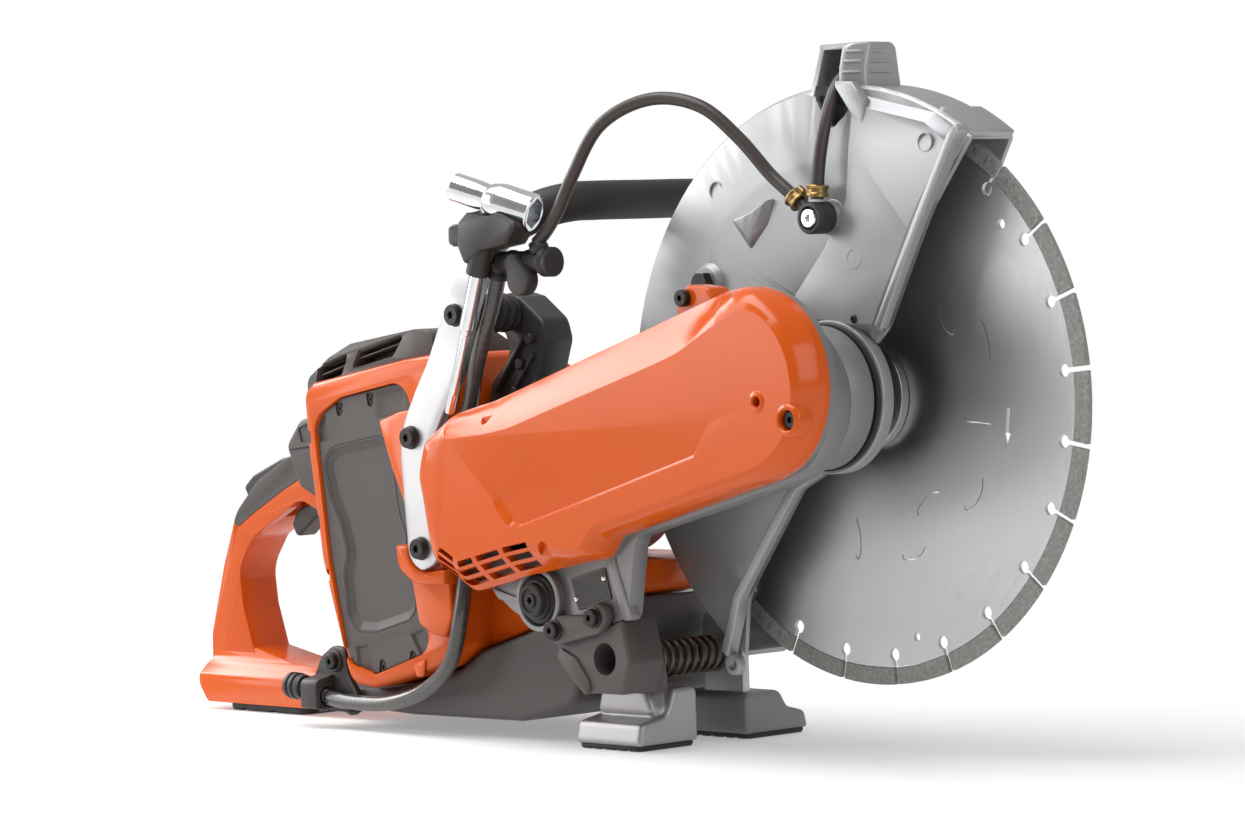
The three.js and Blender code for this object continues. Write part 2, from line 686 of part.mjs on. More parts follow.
function bodyFrame() {
  const housing = slab(FRAME_OUTLINE, BODY_NEAR, BODY_FAR);
  const shelf = slab([[-303, -103], [-303, -160], [-172, -120], [-172, -103]], -48, 60);
  const legPad = slab([
    [-309, -22, 6], [-309, -116, 6], [-300, -140, 6], [-318, -154, 6], [-333, -136, 6], [-334, -22, 6],
  ], LEG_FAR + GAP, BODY_NEAR + 1);
  const bay = block(BAY.x0, BAY.x1, BAY.y0, BODY_FAR + 1, BAY.z0, BAY.z1);
  const panelSeat = slab(inset(PANEL_OUTLINE, -0.4), BODY_NEAR - 1, -69);
  const latchPocket = block(-403, -371, 60, BODY_FAR + 1, BAY.z1 - 1, BAY.z1 + 8.5);
  const screwHoles = [SCREW_PLACES[1], SCREW_PLACES[2]].map(([x, z]) => rod(x, z, 3.4, -95, -84, 10));
  const frontHollow = block(-340, -304, -65, 70, -150, -12);
  const wirePass = block(-350, -336, -10, 10, -100, -80);
  return cut(join(housing, shelf, legPad), bay, frontHollow, wirePass, panelSeat, latchPocket, shoulder(), ...screwHoles);
}

function bayPanel() {
  const plate = slab(PANEL_OUTLINE, -73, -69.3);
  const dish = slab([
    [-424, -44, 14], [-362, -34, 14], [-360, -122, 14], [-352, -140, 12], [-404, -152, 12],
  ], -74, -71.5);
  return cut(plate, dish);
}

function ventHousing() {
  const cap = slab([
    [-464, -6, 4], [-463, 14, 8], [-440, 28, 14], [-417, 37, 20], [-350, 46, 20], [-334, 44, 6], [-333, 28.8],
    [-349, 27.2], [-441, 12.8], [-451, 6],
  ], -60, 40);
  const slots = [];
  [[-452, 9, 12], [-423, 20, 26], [-388, 29, 30]].forEach(([x, z, length]) => {
    slots.push(block(x - length / 2, x + length / 2, -60, -48, z, z + 3.5));
  });
  return cut(cap, shoulder(), ...slots);
}

function bellyTub() {
  const rear = slab([
    [-452, -190], [-448, -203, 6], [-370, -206, 20], [-260, -205, 30], [-206, -190, 14], [-206, -133.5],
    [-298, -161.5], [-319, -174], [-386, -189.6],
  ], -60, 60);
  const front = slab([[-207, -134], [-207, -178], [-192, -178, 6], [-180, -150], [-178, -124.5]], -37, 60);
  const hollow = slab([
    [-446, -196], [-440, -199.5], [-370, -202.5], [-262, -201.5], [-211, -187], [-211, -120], [-298, -150],
    [-319, -160], [-386, -180], [-446, -184],
  ], -56.5, 56.5);
  return cut(join(rear, front), hollow);
}

function rearCover() {
  const shell = slab([
    [-515, -32, 8], [-500, -15, 8], [-466, -6, 4], [-452, -3], [-450.5, -30], [-444, -84], [-502, -60, 8],
  ], -40, 40);
  const hollow = slab([
    [-510, -34, 6], [-498, -20, 6], [-470, -12], [-454.5, -10], [-448, -76], [-498, -56, 6],
  ], -36, 36);
  const mouth = block(-496, -447, -30, 30, -90, -50);
  const button = rod3([-478, 0, -30], [-478, 0, 5], 7.4);
  return cut(shell, hollow, mouth, button);
}

function rod3(from, to, radius) {
  return strut(from, to, radius, 0, 16);
}

function powerButton() {
  return rod3([-478, 0, -14], [-478, 0, -6], 7);
}

function controlUnit() {
  return block(-484, -456, -34, 34, -56, -26);
}

const HANDLE_OUTER = [
  [-519, -33], [-546, -43, 20], [-577, -58, 30], [-602, -80, 30], [-618, -118, 40], [-634, -166, 20],
  [-635, -200, 12], [-624, -212, 8], [-516, -212, 6], [-500, -205], [-454, -205], [-453.3, -189], [-423, -189],
  [-438, -105], [-445, -85], [-503, -61], [-516, -34],
];

const HANDLE_WINDOW = [
  [-601, -119, 24], [-584, -97, 14], [-531, -70, 14], [-500, -82, 4], [-458, -88, 8], [-450, -110],
  [-437, -178, 6], [-545, -186, 14], [-586, -180, 14], [-598, -145, 20],
];

const GRIP_LINE = [[-516, -50], [-549, -64], [-586, -82], [-600, -90]];

function rearHandle() {
  const arch = slab(HANDLE_OUTER, -HANDLE_HALF, HANDLE_HALF);
  const base = slab([
    [-616, -184, 8], [-612, -212, 6], [-516, -212, 6], [-454, -204], [-453.6, -190], [-545, -187],
  ], -30, 30);
  const window = slab(HANDLE_WINDOW, -40, 40);
  const gripSeat = slab([...GRIP_LINE, [-650, -80], [-600, -20], [-500, -20], [-500, -46]], -40, 40);
  const triggerSlot = slab([[-556, -69.5], [-556, -92], [-505, -92], [-505, -56]], -8.5, 8.5);
  return cut(join(arch, base), window, gripSeat, triggerSlot);
}

function rearGrip() {
  const cap = slab([
    [-517, -34.5], [-519.5, -33.2], [-546, -43, 20], [-577, -58, 30], [-603, -80, 30], [-606, -85],
    [-600, -89.6], [-586, -81.6], [-549, -63.6], [-517.5, -50.3],
  ], -HANDLE_HALF, HANDLE_HALF);
  const leverSlot = slab([[-609, -62], [-609, -81], [-548, -55], [-540, -46], [-540, -20], [-590, -20]], -9, 9);
  return cut(cap, leverSlot);
}

function lockoutLever() {
  return slab([[-545, -40.5], [-547, -47], [-598, -70], [-602, -63, 3], [-592, -55, 4], [-560, -43, 6]], -8.4, 8.4);
}

function throttleTrigger() {
  return slab([
    [-510, -66], [-509, -74], [-526, -84], [-546, -98, 4], [-551, -88, 3], [-545, -78],
  ], -8, 8);
}

function rearFoot() {
  return cut(block(-606, -520, -27, 27, -SPINDLE_HEIGHT, -212.4),
    block(-590, -584, -40, 40, -218, -215), block(-558, -552, -40, 40, -218, -215));
}

function batteryPack() {
  const pack = block(BAY.x0 + 0.6, BAY.x1 - 0.6, BAY.y0 + 2, BODY_FAR - 3, BAY.z0 + 0.6, BAY.z1 - 1.4);
  const recess = block(-412, -363, 60, 80, -120, -60);
  return cut(pack, recess);
}

function batteryLatch() {
  return block(-402, -372, 65, BODY_FAR + 1.5, BAY.z1, BAY.z1 + 8);
}

// ---- Vibration damper at the top ----
function upperDamper() {
  const profile = [[0, -78.6], [10, -78.6]];
  const pitch = 6;
  for (let k = 0; k < 5; k += 1) {
    const y = -76.5 + pitch * k;
    profile.push([12.5, y], [12.5, y + 3], [10, y + 4]);
  }
  profile.push([10, -46.3], [0, -46.3]);
  return turned(profile, -272, 55, 14);
}

function damperBracket() {
  return slab([
    [-287, 60, 8], [-277, 68, 8], [-264, 65, 8], [-243, 50, 12], [-239, 37, 10], [-249, 10, 12], [-252, -6],
    [-298, -6], [-294, 10, 8], [-275, 27, 10], [-279, 42, 6], [-287, 45, 5],
  ], -46, -22);
}

// ---- The saw ----
const saw = new THREE.Group();
saw.position.set(-FOOTPRINT_CENTRE_X, -FOOTPRINT_CENTRE_Y, SPINDLE_HEIGHT);

function add(name, solid, material) {
  const mesh = new THREE.Mesh(toGeometry(solid), material);
  mesh.name = name;
  saw.add(mesh);
}

add('blade', blade(), BRUSHED_STEEL);
add('flange_inner', flangeInner(), BRUSHED_STEEL);
add('flange_outer', flangeOuter(), BRUSHED_STEEL);
add('spindle_shaft', spindleShaft(), BRUSHED_STEEL);
add('blade_bolt', bladeBolt(), DARK_STEEL);
add('driven_pulley', pulley(0, 0, DRIVEN_PULLEY_RADIUS, 10.3), CAST_METAL);
add('spindle_bearing_outer', bearing(-84, -72), BRUSHED_STEEL);
add('spindle_bearing_inner', bearing(-44, -32), BRUSHED_STEEL);
add('drive_belt', driveBelt(), RUBBER);
add('arm_casting', armCasting(), CAST_METAL);
add('nose_seal', noseSeal(), RUBBER);
add('belt_cover', beltCover(), ORANGE);
add('motor_casing', motorCasing(), CAST_METAL);
add('motor_stator', motorStator(), COPPER);
add('motor_rotor', motorRotor(), BRUSHED_STEEL);
add('drive_pulley', pulley(MOTOR_X, MOTOR_Z, DRIVE_PULLEY_RADIUS, 8.3), CAST_METAL);
add('cooling_fan', coolingFan(), BLACK_PLASTIC);
add('lower_damper_plug', damperPlug(), RUBBER);
add('rating_plate', typePlate(), BLACK_PLASTIC);
add('foot_bracket', footBracket(), DARK_STEEL);
add('foot_spring', footSpring(), DARK_STEEL);
add('foot_right', footRight(), SATIN_ALUMINIUM);
add('foot_left', footLeft(), SATIN_ALUMINIUM);
add('foot_sole_right', footSole(-196.5, -69, -22), RUBBER);
add('foot_sole_left', footSole(-190.5, 18, 69), RUBBER);
add('guard', guard(), CAST_METAL);
add('water_banjo', waterBanjo(), BLACK_PLASTIC);
add('banjo_bolt', banjoBolt(), CHROME);
add('hose_clamp_supply', hoseClamp([-13.9, -43.75, 118.6], [25.5, 3, -20.5]), BRASS);
add('hose_clamp_spray', hoseClamp([2.8, -42.7, 123], [0.6, 0.6, 10]), BRASS);
add('supply_hose', supplyHose(), RUBBER);
add('spray_hose', sprayHose(), RUBBER);
add('water_valve', waterValve(), BLACK_PLASTIC);
add('valve_knob', valveKnob(), BLUE);
add('feed_hose', feedHose(), RUBBER);
add('hose_coupling', hoseCoupling(), BLACK_PLASTIC);
add('coupling_bracket', couplingBracket(), BLACK_PLASTIC);
add('front_handle', handleFrame(), SATIN_ALUMINIUM);
add('front_grip_sleeve', gripSleeve(), RUBBER);
add('leg_screw_upper', legScrew(SCREW_PLACES[0]), DARK_STEEL);
add('leg_screw_middle', legScrew(SCREW_PLACES[1]), DARK_STEEL);
add('leg_screw_lower', legScrew(SCREW_PLACES[2]), DARK_STEEL);
add('wrench_holder', wrenchHolder(), BLACK_PLASTIC);
add('combination_wrench', wrench(), CHROME);
add('upper_damper', upperDamper(), RUBBER);
add('damper_bracket', damperBracket(), BLACK_PLASTIC);
add('body_frame', bodyFrame(), ORANGE);
add('bay_panel', bayPanel(), DARK_PLASTIC);
add('vent_housing', ventHousing(), DARK_PLASTIC);
add('belly_tub', bellyTub(), DARK_PLASTIC);
add('rear_cover', rearCover(), DARK_PLASTIC);
add('power_button', powerButton(), BLACK_PLASTIC);
add('control_unit', controlUnit(), CAST_METAL);
add('rear_handle', rearHandle(), ORANGE);
add('rear_grip', rearGrip(), DARK_PLASTIC);
add('rear_foot', rearFoot(), RUBBER);
add('throttle_trigger', throttleTrigger(), BLACK_PLASTIC);
add('trigger_lockout', lockoutLever(), BLACK_PLASTIC);
add('battery_pack', batteryPack(), BLACK_PLASTIC);
add('battery_latch', batteryLatch(), ORANGE);

export default saw;
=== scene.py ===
import math

import bmesh
import bpy
from mathutils import Matrix, Vector
from mathutils.geometry import intersect_line_line_2d


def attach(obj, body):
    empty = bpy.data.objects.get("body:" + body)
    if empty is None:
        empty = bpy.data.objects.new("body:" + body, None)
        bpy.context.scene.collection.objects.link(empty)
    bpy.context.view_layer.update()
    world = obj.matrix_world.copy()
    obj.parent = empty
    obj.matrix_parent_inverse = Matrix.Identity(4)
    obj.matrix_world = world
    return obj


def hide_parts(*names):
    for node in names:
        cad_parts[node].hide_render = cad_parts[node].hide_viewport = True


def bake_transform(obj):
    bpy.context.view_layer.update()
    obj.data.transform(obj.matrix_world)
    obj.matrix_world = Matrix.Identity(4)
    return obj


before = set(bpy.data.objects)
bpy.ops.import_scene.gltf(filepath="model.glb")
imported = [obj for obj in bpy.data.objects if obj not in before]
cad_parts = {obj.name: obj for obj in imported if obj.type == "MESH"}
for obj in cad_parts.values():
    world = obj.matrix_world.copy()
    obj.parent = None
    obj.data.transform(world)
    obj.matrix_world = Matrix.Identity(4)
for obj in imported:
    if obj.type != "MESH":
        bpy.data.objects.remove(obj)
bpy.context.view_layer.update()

MM = 0.001
SHIFT = Vector((0.230, 0.00595, 0.217))
ROOT = "saw"
AXIS = 0.02                # radius of a turned solid on its own axis, so that no face there is empty
MOTOR = (-232, -55)        # middle of the motor, in X and Z
PLUG = (-204, -123)        # middle of the lower damper
BANJO = (2, 107)           # middle of the water banjo on the guard
GUARD_BOLT = (-105, 70)
LOW_HOLE = (-93.8, -164.1)
LEG_SCREWS = ((-277, 55), (-325, -23), (-319, -94))
SLOTS = [5 + 15 * k for k in range(24)]    # directions of the slots between the disc's segments, in degrees


# ---- Outlines ----
def place(point):
    return Vector(point) * MM + SHIFT


def rounded(corners, step_deg=7.0):
    """Corners (u, v, radius) to a closed outline with arcs."""
    points = []
    for i, corner in enumerate(corners):
        here = Vector(corner[:2])
        radius = corner[2] if len(corner) > 2 else 0
        if not radius:
            points.append(here)
            continue
        back = (Vector(corners[i - 1][:2]) - here).normalized()
        forth = (Vector(corners[(i + 1) % len(corners)][:2]) - here).normalized()
        angle = back.angle(forth)
        reach = radius / math.tan(angle / 2)
        centre = here + (back + forth).normalized() * (radius / math.sin(angle / 2))
        start = here + back * reach - centre
        end = here + forth * reach - centre
        turn = math.atan2(start.x * end.y - start.y * end.x, start.dot(end))
        steps = max(2, math.ceil(abs(math.degrees(turn)) / step_deg))
        for k in range(steps + 1):
            points.append(centre + Matrix.Rotation(turn * k / steps, 2) @ start)
    return [tuple(p) for p in points]


def arc(cx, cz, radius, from_deg, to_deg, steps):
    found = []
    for k in range(steps + 1):
        a = math.radians(from_deg + (to_deg - from_deg) * k / steps)
        found.append((cx + radius * math.cos(a), cz + radius * math.sin(a)))
    return found


def circle(cx, cz, radius, steps=32):
    return arc(cx, cz, radius, 0, 360 - 360 / steps, steps - 1)


def star(cx, cz, outer, inner, lobes=6, steps=6):
    """A six-lobed drive recess."""
    found = []
    total = lobes * steps
    for k in range(total):
        a = 2 * math.pi * k / total
        r = (outer + inner) / 2 + (outer - inner) / 2 * math.cos(lobes * a)
        found.append((cx + r * math.cos(a), cz + r * math.sin(a)))
    return found


def wrap(x0, z0, r0, x1, z1, r1, steps=40):
    apart = math.hypot(x1 - x0, z1 - z0)
    heading = math.degrees(math.atan2(z1 - z0, x1 - x0))
    lean = math.degrees(math.acos((r0 - r1) / apart))
    return (arc(x0, z0, r0, heading + lean, heading - lean + 360, steps) + arc(x1, z1, r1, heading - lean,
        heading + lean, steps))


def area(outline):
    return sum(a[0] * b[1] - b[0] * a[1] for a, b in zip(outline, outline[1:] + outline[:1])) / 2


def normals(outline):
    """The outward direction at each point of a closed outline."""
    side = 1 if area(outline) > 0 else -1
    found = []
    for i, here in enumerate(outline):
        before = Vector(outline[i - 1])
        after = Vector(outline[(i + 1) % len(outline)])
        edge_in = (Vector(here) - before).normalized()
        edge_out = (after - Vector(here)).normalized()
        n = Vector((edge_in.y, -edge_in.x)) + Vector((edge_out.y, -edge_out.x))
        n = n.normalized() if n.length > 1e-6 else Vector((edge_in.y, -edge_in.x))
        found.append(n * side)
    return found


def untangled(outline):
    """The outline with each small loop drawn together to the point where the line crosses itself."""
    points = [Vector(p) for p in outline]
    count = len(points)
    for i in range(count):
        for span in range(count // 4, 1, -1):
            j = (i + span) % count
            hit = intersect_line_line_2d(points[i], points[(i + 1) % count], points[j], points[(j
                + 1) % count])
            if hit:
                for k in range(1, span + 1):
                    points[(i + k) % count] = hit.copy()
                break
    return [tuple(p) for p in points]


def grown(outline, distance):
    """The outline moved outwards; distance may be a list with one value for each point."""
    moves = distance if isinstance(distance, list) else [distance] * len(outline)
    return untangled([tuple(Vector(p) + n * d) for p, n, d in zip(outline, normals(outline), moves)])


# ---- Meshes ----
def mesh_piece(name, points, faces):
    mesh = bpy.data.meshes.new(name)
    mesh.from_pydata([place(p) for p in points], [], faces)
    work = bmesh.new()
    work.from_mesh(mesh)
    bmesh.ops.remove_doubles(work, verts=work.verts, dist=1e-7)
    bmesh.ops.recalc_face_normals(work, faces=work.faces)
    work.to_mesh(mesh)
    work.free()
    piece = bpy.data.objects.new(name, mesh)
    bpy.context.scene.collection.objects.link(piece)
    return piece


def loft(name, rings, closed=False):
    """Skins rings of equally many points. The two ends are capped unless the loft closes."""
    count = len(rings[0])
    points = [p for ring in rings for p in ring]
    faces = []
    spans = len(rings) if closed else len(rings) - 1
    for r in range(spans):
        a = r * count
        b = (r + 1) % len(rings) * count
        for k in range(count):
            n = (k + 1) % count
            faces.append((a + k, a + n, b + n, b + k))
    if not closed:
        faces.append(tuple(range(count)))
        faces.append(tuple(range((len(rings) - 1) * count, len(rings) * count)))
    return mesh_piece(name, points, faces)


def slab(name, outline, near, far):
    """An outline in X and Z, its corners (u, v, radius) rounded, with its thickness along Y."""
    return loft(name, [[(u, y, v) for u, v in rounded(outline)] for y in (near, far)])


def cross_slab(name, outline, rear, front):
    """The same in Y and Z, with its thickness along X."""
    return loft(name, [[(x, u, v) for u, v in rounded(outline)] for x in (rear, front)])


def stack(name, outline, levels):
    """An outline in X and Z grown by its own amount at each (y, amount)."""
    return loft(name, [[(u, y, v) for u, v in grown(outline, amount)] for y, amount in levels])


def pad(name, outline, levels):
    """An outline in X and Y grown by its own amount at each (z, amount)."""
    return loft(name, [[(u, v, z) for u, v in grown(outline, amount)] for z, amount in levels])


def turned(name, profile, centre=(0, 0), sides=96):
    """A closed profile of (radius, y) turned about the line along Y through centre."""
    cx, cz = centre
    rings = []
    for k in range(sides):
        a = 2 * math.pi * k / sides
        rings.append([(cx + r * math.cos(a), y, cz + r * math.sin(a)) for r, y in profile])
    return loft(name, rings, closed=True)


def rod(name, centre, radius, near, far, sides=40):
    return slab(name, circle(centre[0], centre[1], radius, sides), near, far)


def frames_along(points, up):
    """Positions with a side and an up direction each, carried along the line without twist."""
    line = [Vector(p) for p in points]
    found = []
    lift = Vector(up)
    for i, here in enumerate(line):
        ahead = line[min(i + 1, len(line) - 1)] - line[max(i - 1, 0)]
        ahead.normalize()
        lift = (lift - ahead * lift.dot(ahead)).normalized()
        found.append((here, ahead.cross(lift).normalized(), lift.copy()))
    return found


def smooth_line(points, spacing):
    """A centripetal Catmull-Rom line through the points."""
    knots = [Vector(p) for p in points]
    knots = [knots[0] * 2 - knots[1]] + knots + [knots[-1] * 2 - knots[-2]]
    found = []
    for i in range(1, len(knots) - 2):
        p0, p1, p2, p3 = knots[i - 1:i + 3]
        t0 = 0.0
        t1 = t0 + math.sqrt((p1 - p0).length)
        t2 = t1 + math.sqrt((p2 - p1).length)
        t3 = t2 + math.sqrt((p3 - p2).length)
        steps = max(1, round((p2 - p1).length / spacing))
        for k in range(steps):
            t = t1 + (t2 - t1) * k / steps
            a1 = p0 * ((t1 - t) / (t1 - t0)) + p1 * ((t - t0) / (t1 - t0))
            a2 = p1 * ((t2 - t) / (t2 - t1)) + p2 * ((t - t1) / (t2 - t1))
            a3 = p2 * ((t3 - t) / (t3 - t2)) + p3 * ((t - t2) / (t3 - t2))
            b1 = a1 * ((t2 - t) / (t2 - t0)) + a2 * ((t - t0) / (t2 - t0))
            b2 = a2 * ((t3 - t) / (t3 - t1)) + a3 * ((t - t1) / (t3 - t1))
            found.append(b1 * ((t2 - t) / (t2 - t1)) + b2 * ((t - t1) / (t2 - t1)))
    found.append(knots[-2])
    return found


def tube(name, line, radius, sides=20, up=(0.1, 0.2, 1)):
    """A round tube along a line of points; radius may be a function of the place from 0 to 1."""
    rings = []
    last = len(line) - 1
    for i, (here, side, lift) in enumerate(frames_along(line, up)):
        r = radius(i / last) if callable(radius) else radius
        ring = []
        for k in range(sides):
            a = 2 * math.pi * k / sides
            ring.append(here + side * (r * math.cos(a)) + lift * (r * math.sin(a)))
        rings.append(ring)
    return loft(name, rings)


def strut(name, start, end, profile, sides=48, up=(0, 1, 0)):
    """A turned piece between two points; profile is (distance from start, radius) from end to end."""
    a, b = Vector(start), Vector(end)
    ahead = (b - a).normalized()
    lift = Vector(up)
    lift = (lift - ahead * lift.dot(ahead)).normalized()
    side = ahead.cross(lift)
    rings = []
    for distance, r in profile:
        rings.append([a + ahead * distance + side * (r * math.cos(2 * math.pi * k / sides))
            + lift * (r * math.sin(2 * math.pi * k / sides)) for k in range(sides)])
    return loft(name, rings)


# ---- Joining and cutting ----
def baked(piece):
    """Turns the piece's modifiers into mesh."""
    view = bpy.context.evaluated_depsgraph_get()
    view.update()
    mesh = bpy.data.meshes.new_from_object(piece.evaluated_get(view))
    old = piece.data
    piece.modifiers.clear()
    piece.data = mesh
    bpy.data.meshes.remove(old)
    return piece


def combine(piece, tools, operation):
    for tool in tools:
        step = piece.modifiers.new("Combine", "BOOLEAN")
        step.operation = operation
        step.object = tool
        step.solver = "EXACT"
        baked(piece)
        bpy.data.objects.remove(tool)
    work = bmesh.new()
    work.from_mesh(piece.data)
    bmesh.ops.remove_doubles(work, verts=work.verts, dist=2e-6)
    bmesh.ops.dissolve_limit(work, angle_limit=math.radians(0.4), verts=work.verts, edges=work.edges)
    work.to_mesh(piece.data)
    work.free()
    return piece


def cut(piece, *tools):
    return combine(piece, tools, "DIFFERENCE")


def fused(piece, *tools):
    return combine(piece, tools, "UNION")


def common(piece, *tools):
    return combine(piece, tools, "INTERSECT")


def merged(name, *pieces):
    """Several closed shells as one object."""
    work = bmesh.new()
    for piece in pieces:
        if piece.modifiers:
            baked(piece)
        work.from_mesh(piece.data)
        bpy.data.objects.remove(piece)
    mesh = bpy.data.meshes.new(name)
    work.to_mesh(mesh)
    work.free()
    whole = bpy.data.objects.new(name, mesh)
    bpy.context.scene.collection.objects.link(whole)
    return whole


def copied(piece, name):
    twin = bpy.data.objects.new(name, piece.data.copy())
    bpy.context.scene.collection.objects.link(twin)
    return twin


def softened(piece, width, segments=3, angle=30):
    """Rounds the edges that are sharper than the angle. Width is in millimetres."""
    bevel = piece.modifiers.new("Edges", "BEVEL")
    bevel.width = width * MM
    bevel.segments = segments
    bevel.limit_method = "ANGLE"
    bevel.angle_limit = math.radians(angle)
    bevel.harden_normals = True
    bevel.miter_outer = "MITER_ARC"
    return piece


def shaded(piece, angle=35):
    piece.data.shade_smooth()
    piece.data.set_sharp_from_angle(angle=math.radians(angle))
    return piece


def remeshed(piece, voxel, rounds=6):
    """One skin over overlapping shells, with its creases filled and rounded."""
    skin = piece.modifiers.new("Skin", "REMESH")
    skin.mode = "VOXEL"
    skin.voxel_size = voxel * MM
    ease = piece.modifiers.new("Ease", "SMOOTH")
    ease.factor = 0.5
    ease.iterations = rounds
    return baked(piece)


def done(piece, material, node_name=None, body=ROOT, slot="usual", edge=0, segments=3, angle=30, sharp=35):
    """Gives a finished piece its edges, shading, material and body, and hides the CAD node that it stands
    for.
    """
    shaded(piece, sharp)
    if edge:
        softened(piece, edge, segments, angle)
    piece.data.materials.clear()
    piece.data.materials.append(material)
    if body:
        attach(piece, body)
    if slot == "usual":
        slot = USUAL_SLOT[material.name]
    if node_name:
        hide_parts(node_name)
    return piece


# ---- Materials ----
def linear(red, green, blue):
    return tuple(((c / 255 + 0.055) / 1.055) ** 2.4 if c > 10 else c / 3300 for c in (red, green,
        blue)) + (1,)


USUAL_SLOT = {}            # the entry of the CAD palette that each finish stands for
NOISE_SPAN = (0.3, 0.7)    # where nearly all of a noise texture's values lie


def node(tree, kind, inputs=(), **settings):
    """A new shader node with its settings and the values of its inputs."""
    made = tree.nodes.new("ShaderNode" + kind)
    for name, value in settings.items():
        setattr(made, name, value)
    for socket, value in dict(inputs).items():
        made.inputs[socket].default_value = value
    return made


def surface(name, slot, rgb, rough, metal=0.0, coat=0.0, blotch=12, shift=0.05, grain=1500, bump=0.15,
        spread=0.06, gleam=0.5, rings=False, anisotropic=0.0, speckle=0.0, stretch=(1, 1, 1)):
    """A finish whose colour, roughness and relief come from layered noise in the model's own space."""
    made = bpy.data.materials.new(name)
    made.use_nodes = True
    tree, link = made.node_tree, made.node_tree.links.new
    shader = tree.nodes["Principled BSDF"]
    for socket, value in (("Metallic", metal), ("Coat Weight", coat), ("Coat Roughness", 0.05),
            ("Specular IOR Level", gleam), ("Anisotropic", anisotropic)):
        shader.inputs[socket].default_value = value
    where = node(tree, "TexCoord").outputs["Object"]
    stretched = node(tree, "Mapping", {"Scale": stretch})
    link(where, stretched.inputs["Vector"])
    here = stretched.outputs["Vector"]

    large = node(tree, "TexNoise", {"Scale": blotch, "Detail": 4})
    link(here, large.inputs["Vector"])
    fine = node(tree, "TexNoise", {"Scale": grain, "Detail": 3})
    if rings:
        # The grain follows the distance from the spindle, so it lies in rings about it.
        about = node(tree, "VectorMath", {1: tuple(SHIFT)}, operation="SUBTRACT")
        flat = node(tree, "VectorMath", {1: (1, 0, 1)}, operation="MULTIPLY")
        length = node(tree, "VectorMath", operation="LENGTH")
        slow = node(tree, "VectorMath", {"Scale": 0.02}, operation="SCALE")
        both = node(tree, "VectorMath", operation="ADD")
        link(where, about.inputs[0])
        link(about.outputs[0], flat.inputs[0])
        link(flat.outputs[0], length.inputs[0])
        link(flat.outputs[0], slow.inputs[0])
        link(length.outputs["Value"], both.inputs[0])
        link(slow.outputs[0], both.inputs[1])
        here_fine = both.outputs[0]
    else:
        here_fine = here
    link(here_fine, fine.inputs["Vector"])

    if anisotropic:
        swirl = node(tree, "Tangent", direction_type="RADIAL", axis="Y")
        link(swirl.outputs["Tangent"], shader.inputs["Tangent"])

    ramp = node(tree, "ValToRGB")
    colour = linear(*rgb)
    for stop, place_on, change in zip(ramp.color_ramp.elements, NOISE_SPAN, (-shift, shift)):
        stop.position = place_on
        stop.color = tuple(min(1, c * (1 + change)) for c in colour[:3]) + (1,)
    link(large.outputs["Fac"], ramp.inputs["Fac"])
    tint = ramp.outputs["Color"]
    if speckle:
        dots = node(tree, "TexVoronoi", {"Scale": 420})
        link(here, dots.inputs["Vector"])
        dark = node(tree, "Mix", {"Factor": speckle}, data_type="RGBA", blend_type="MULTIPLY")
        link(tint, dark.inputs["A"])
        link(dots.outputs["Distance"], dark.inputs["B"])
        tint = dark.outputs["Result"]
    link(tint, shader.inputs["Base Color"])

    half = node(tree, "Math", {1: 0.5}, operation="MULTIPLY")
    mixed = node(tree, "Math", {1: 0.5}, operation="MULTIPLY_ADD")
    dull = node(tree, "MapRange", {"From Min": NOISE_SPAN[0], "From Max": NOISE_SPAN[1], "To Min": max(0.02,
        rough - spread), "To Max": rough + spread})
    link(large.outputs["Fac"], half.inputs[0])
    link(fine.outputs["Fac"], mixed.inputs[0])
    link(half.outputs[0], mixed.inputs[2])
    link(mixed.outputs[0], dull.inputs["Value"])
    link(dull.outputs["Result"], shader.inputs["Roughness"])

    relief = node(tree, "Bump", {"Strength": bump, "Distance": 0.0002})
    link(fine.outputs["Fac"], relief.inputs["Height"])
    link(relief.outputs["Normal"], shader.inputs["Normal"])
    USUAL_SLOT[made.name] = slot
    return made


ORANGE = surface("orange_gloss", "orange_plastic", (206, 84, 12), 0.17, coat=0.0, gleam=0.36, shift=0.03,
    grain=320, bump=0.006, spread=0.02)
DARK = surface("dark_grey_plastic", "dark_plastic", (74, 69, 67), 0.5, grain=2200, bump=0.5, shift=0.06)
BLACK = surface("black_plastic", "black_plastic", (46, 43, 41), 0.48, grain=2000, bump=0.4, shift=0.08)
RUBBER = surface("black_rubber", "rubber", (36, 33, 31), 0.6, grain=1600, bump=0.5, shift=0.12)
HOSE = surface("hose_rubber", "rubber", (58, 50, 47), 0.42, grain=900, bump=0.25, shift=0.08)
BRAID = surface("braided_hose", "rubber", (62, 60, 58), 0.3, coat=0.5, grain=420, bump=0.8, shift=0.25,
    blotch=260)
CAST = surface("satin_cast_alloy", "cast_metal", (160, 161, 163), 0.44, metal=0.6, grain=1500, bump=0.22,
    shift=0.05)
# A darker copy of the cast alloy: painted shade for parts that sit in shadow, such as the left foot, the arm
# behind the cover and the parts inside.
SHADED_CAST = surface("shade_darkened_cast_alloy", "cast_metal", (134, 132, 132), 0.46, metal=0.5, grain=1500,
    bump=0.25, shift=0.06)
ALLOY = surface("satin_aluminium", "satin_aluminium", (198, 197, 198), 0.38, metal=0.85, grain=1800,
    bump=0.12, shift=0.05, blotch=30)
FOOT_ALLOY = surface("satin_foot_alloy", "satin_aluminium", (168, 166, 166), 0.42, metal=0.75, grain=1500,
    bump=0.2, blotch=24)
STEEL = surface("brushed_steel", "brushed_steel", (184, 186, 188), 0.34, metal=1.0, grain=5200, bump=0.25,
    rings=True, anisotropic=0.75, shift=0.05, blotch=9)
TURNED_STEEL = surface("turned_steel", "brushed_steel", (176, 176, 178), 0.28, metal=1.0, grain=4200,
    bump=0.2, rings=True)
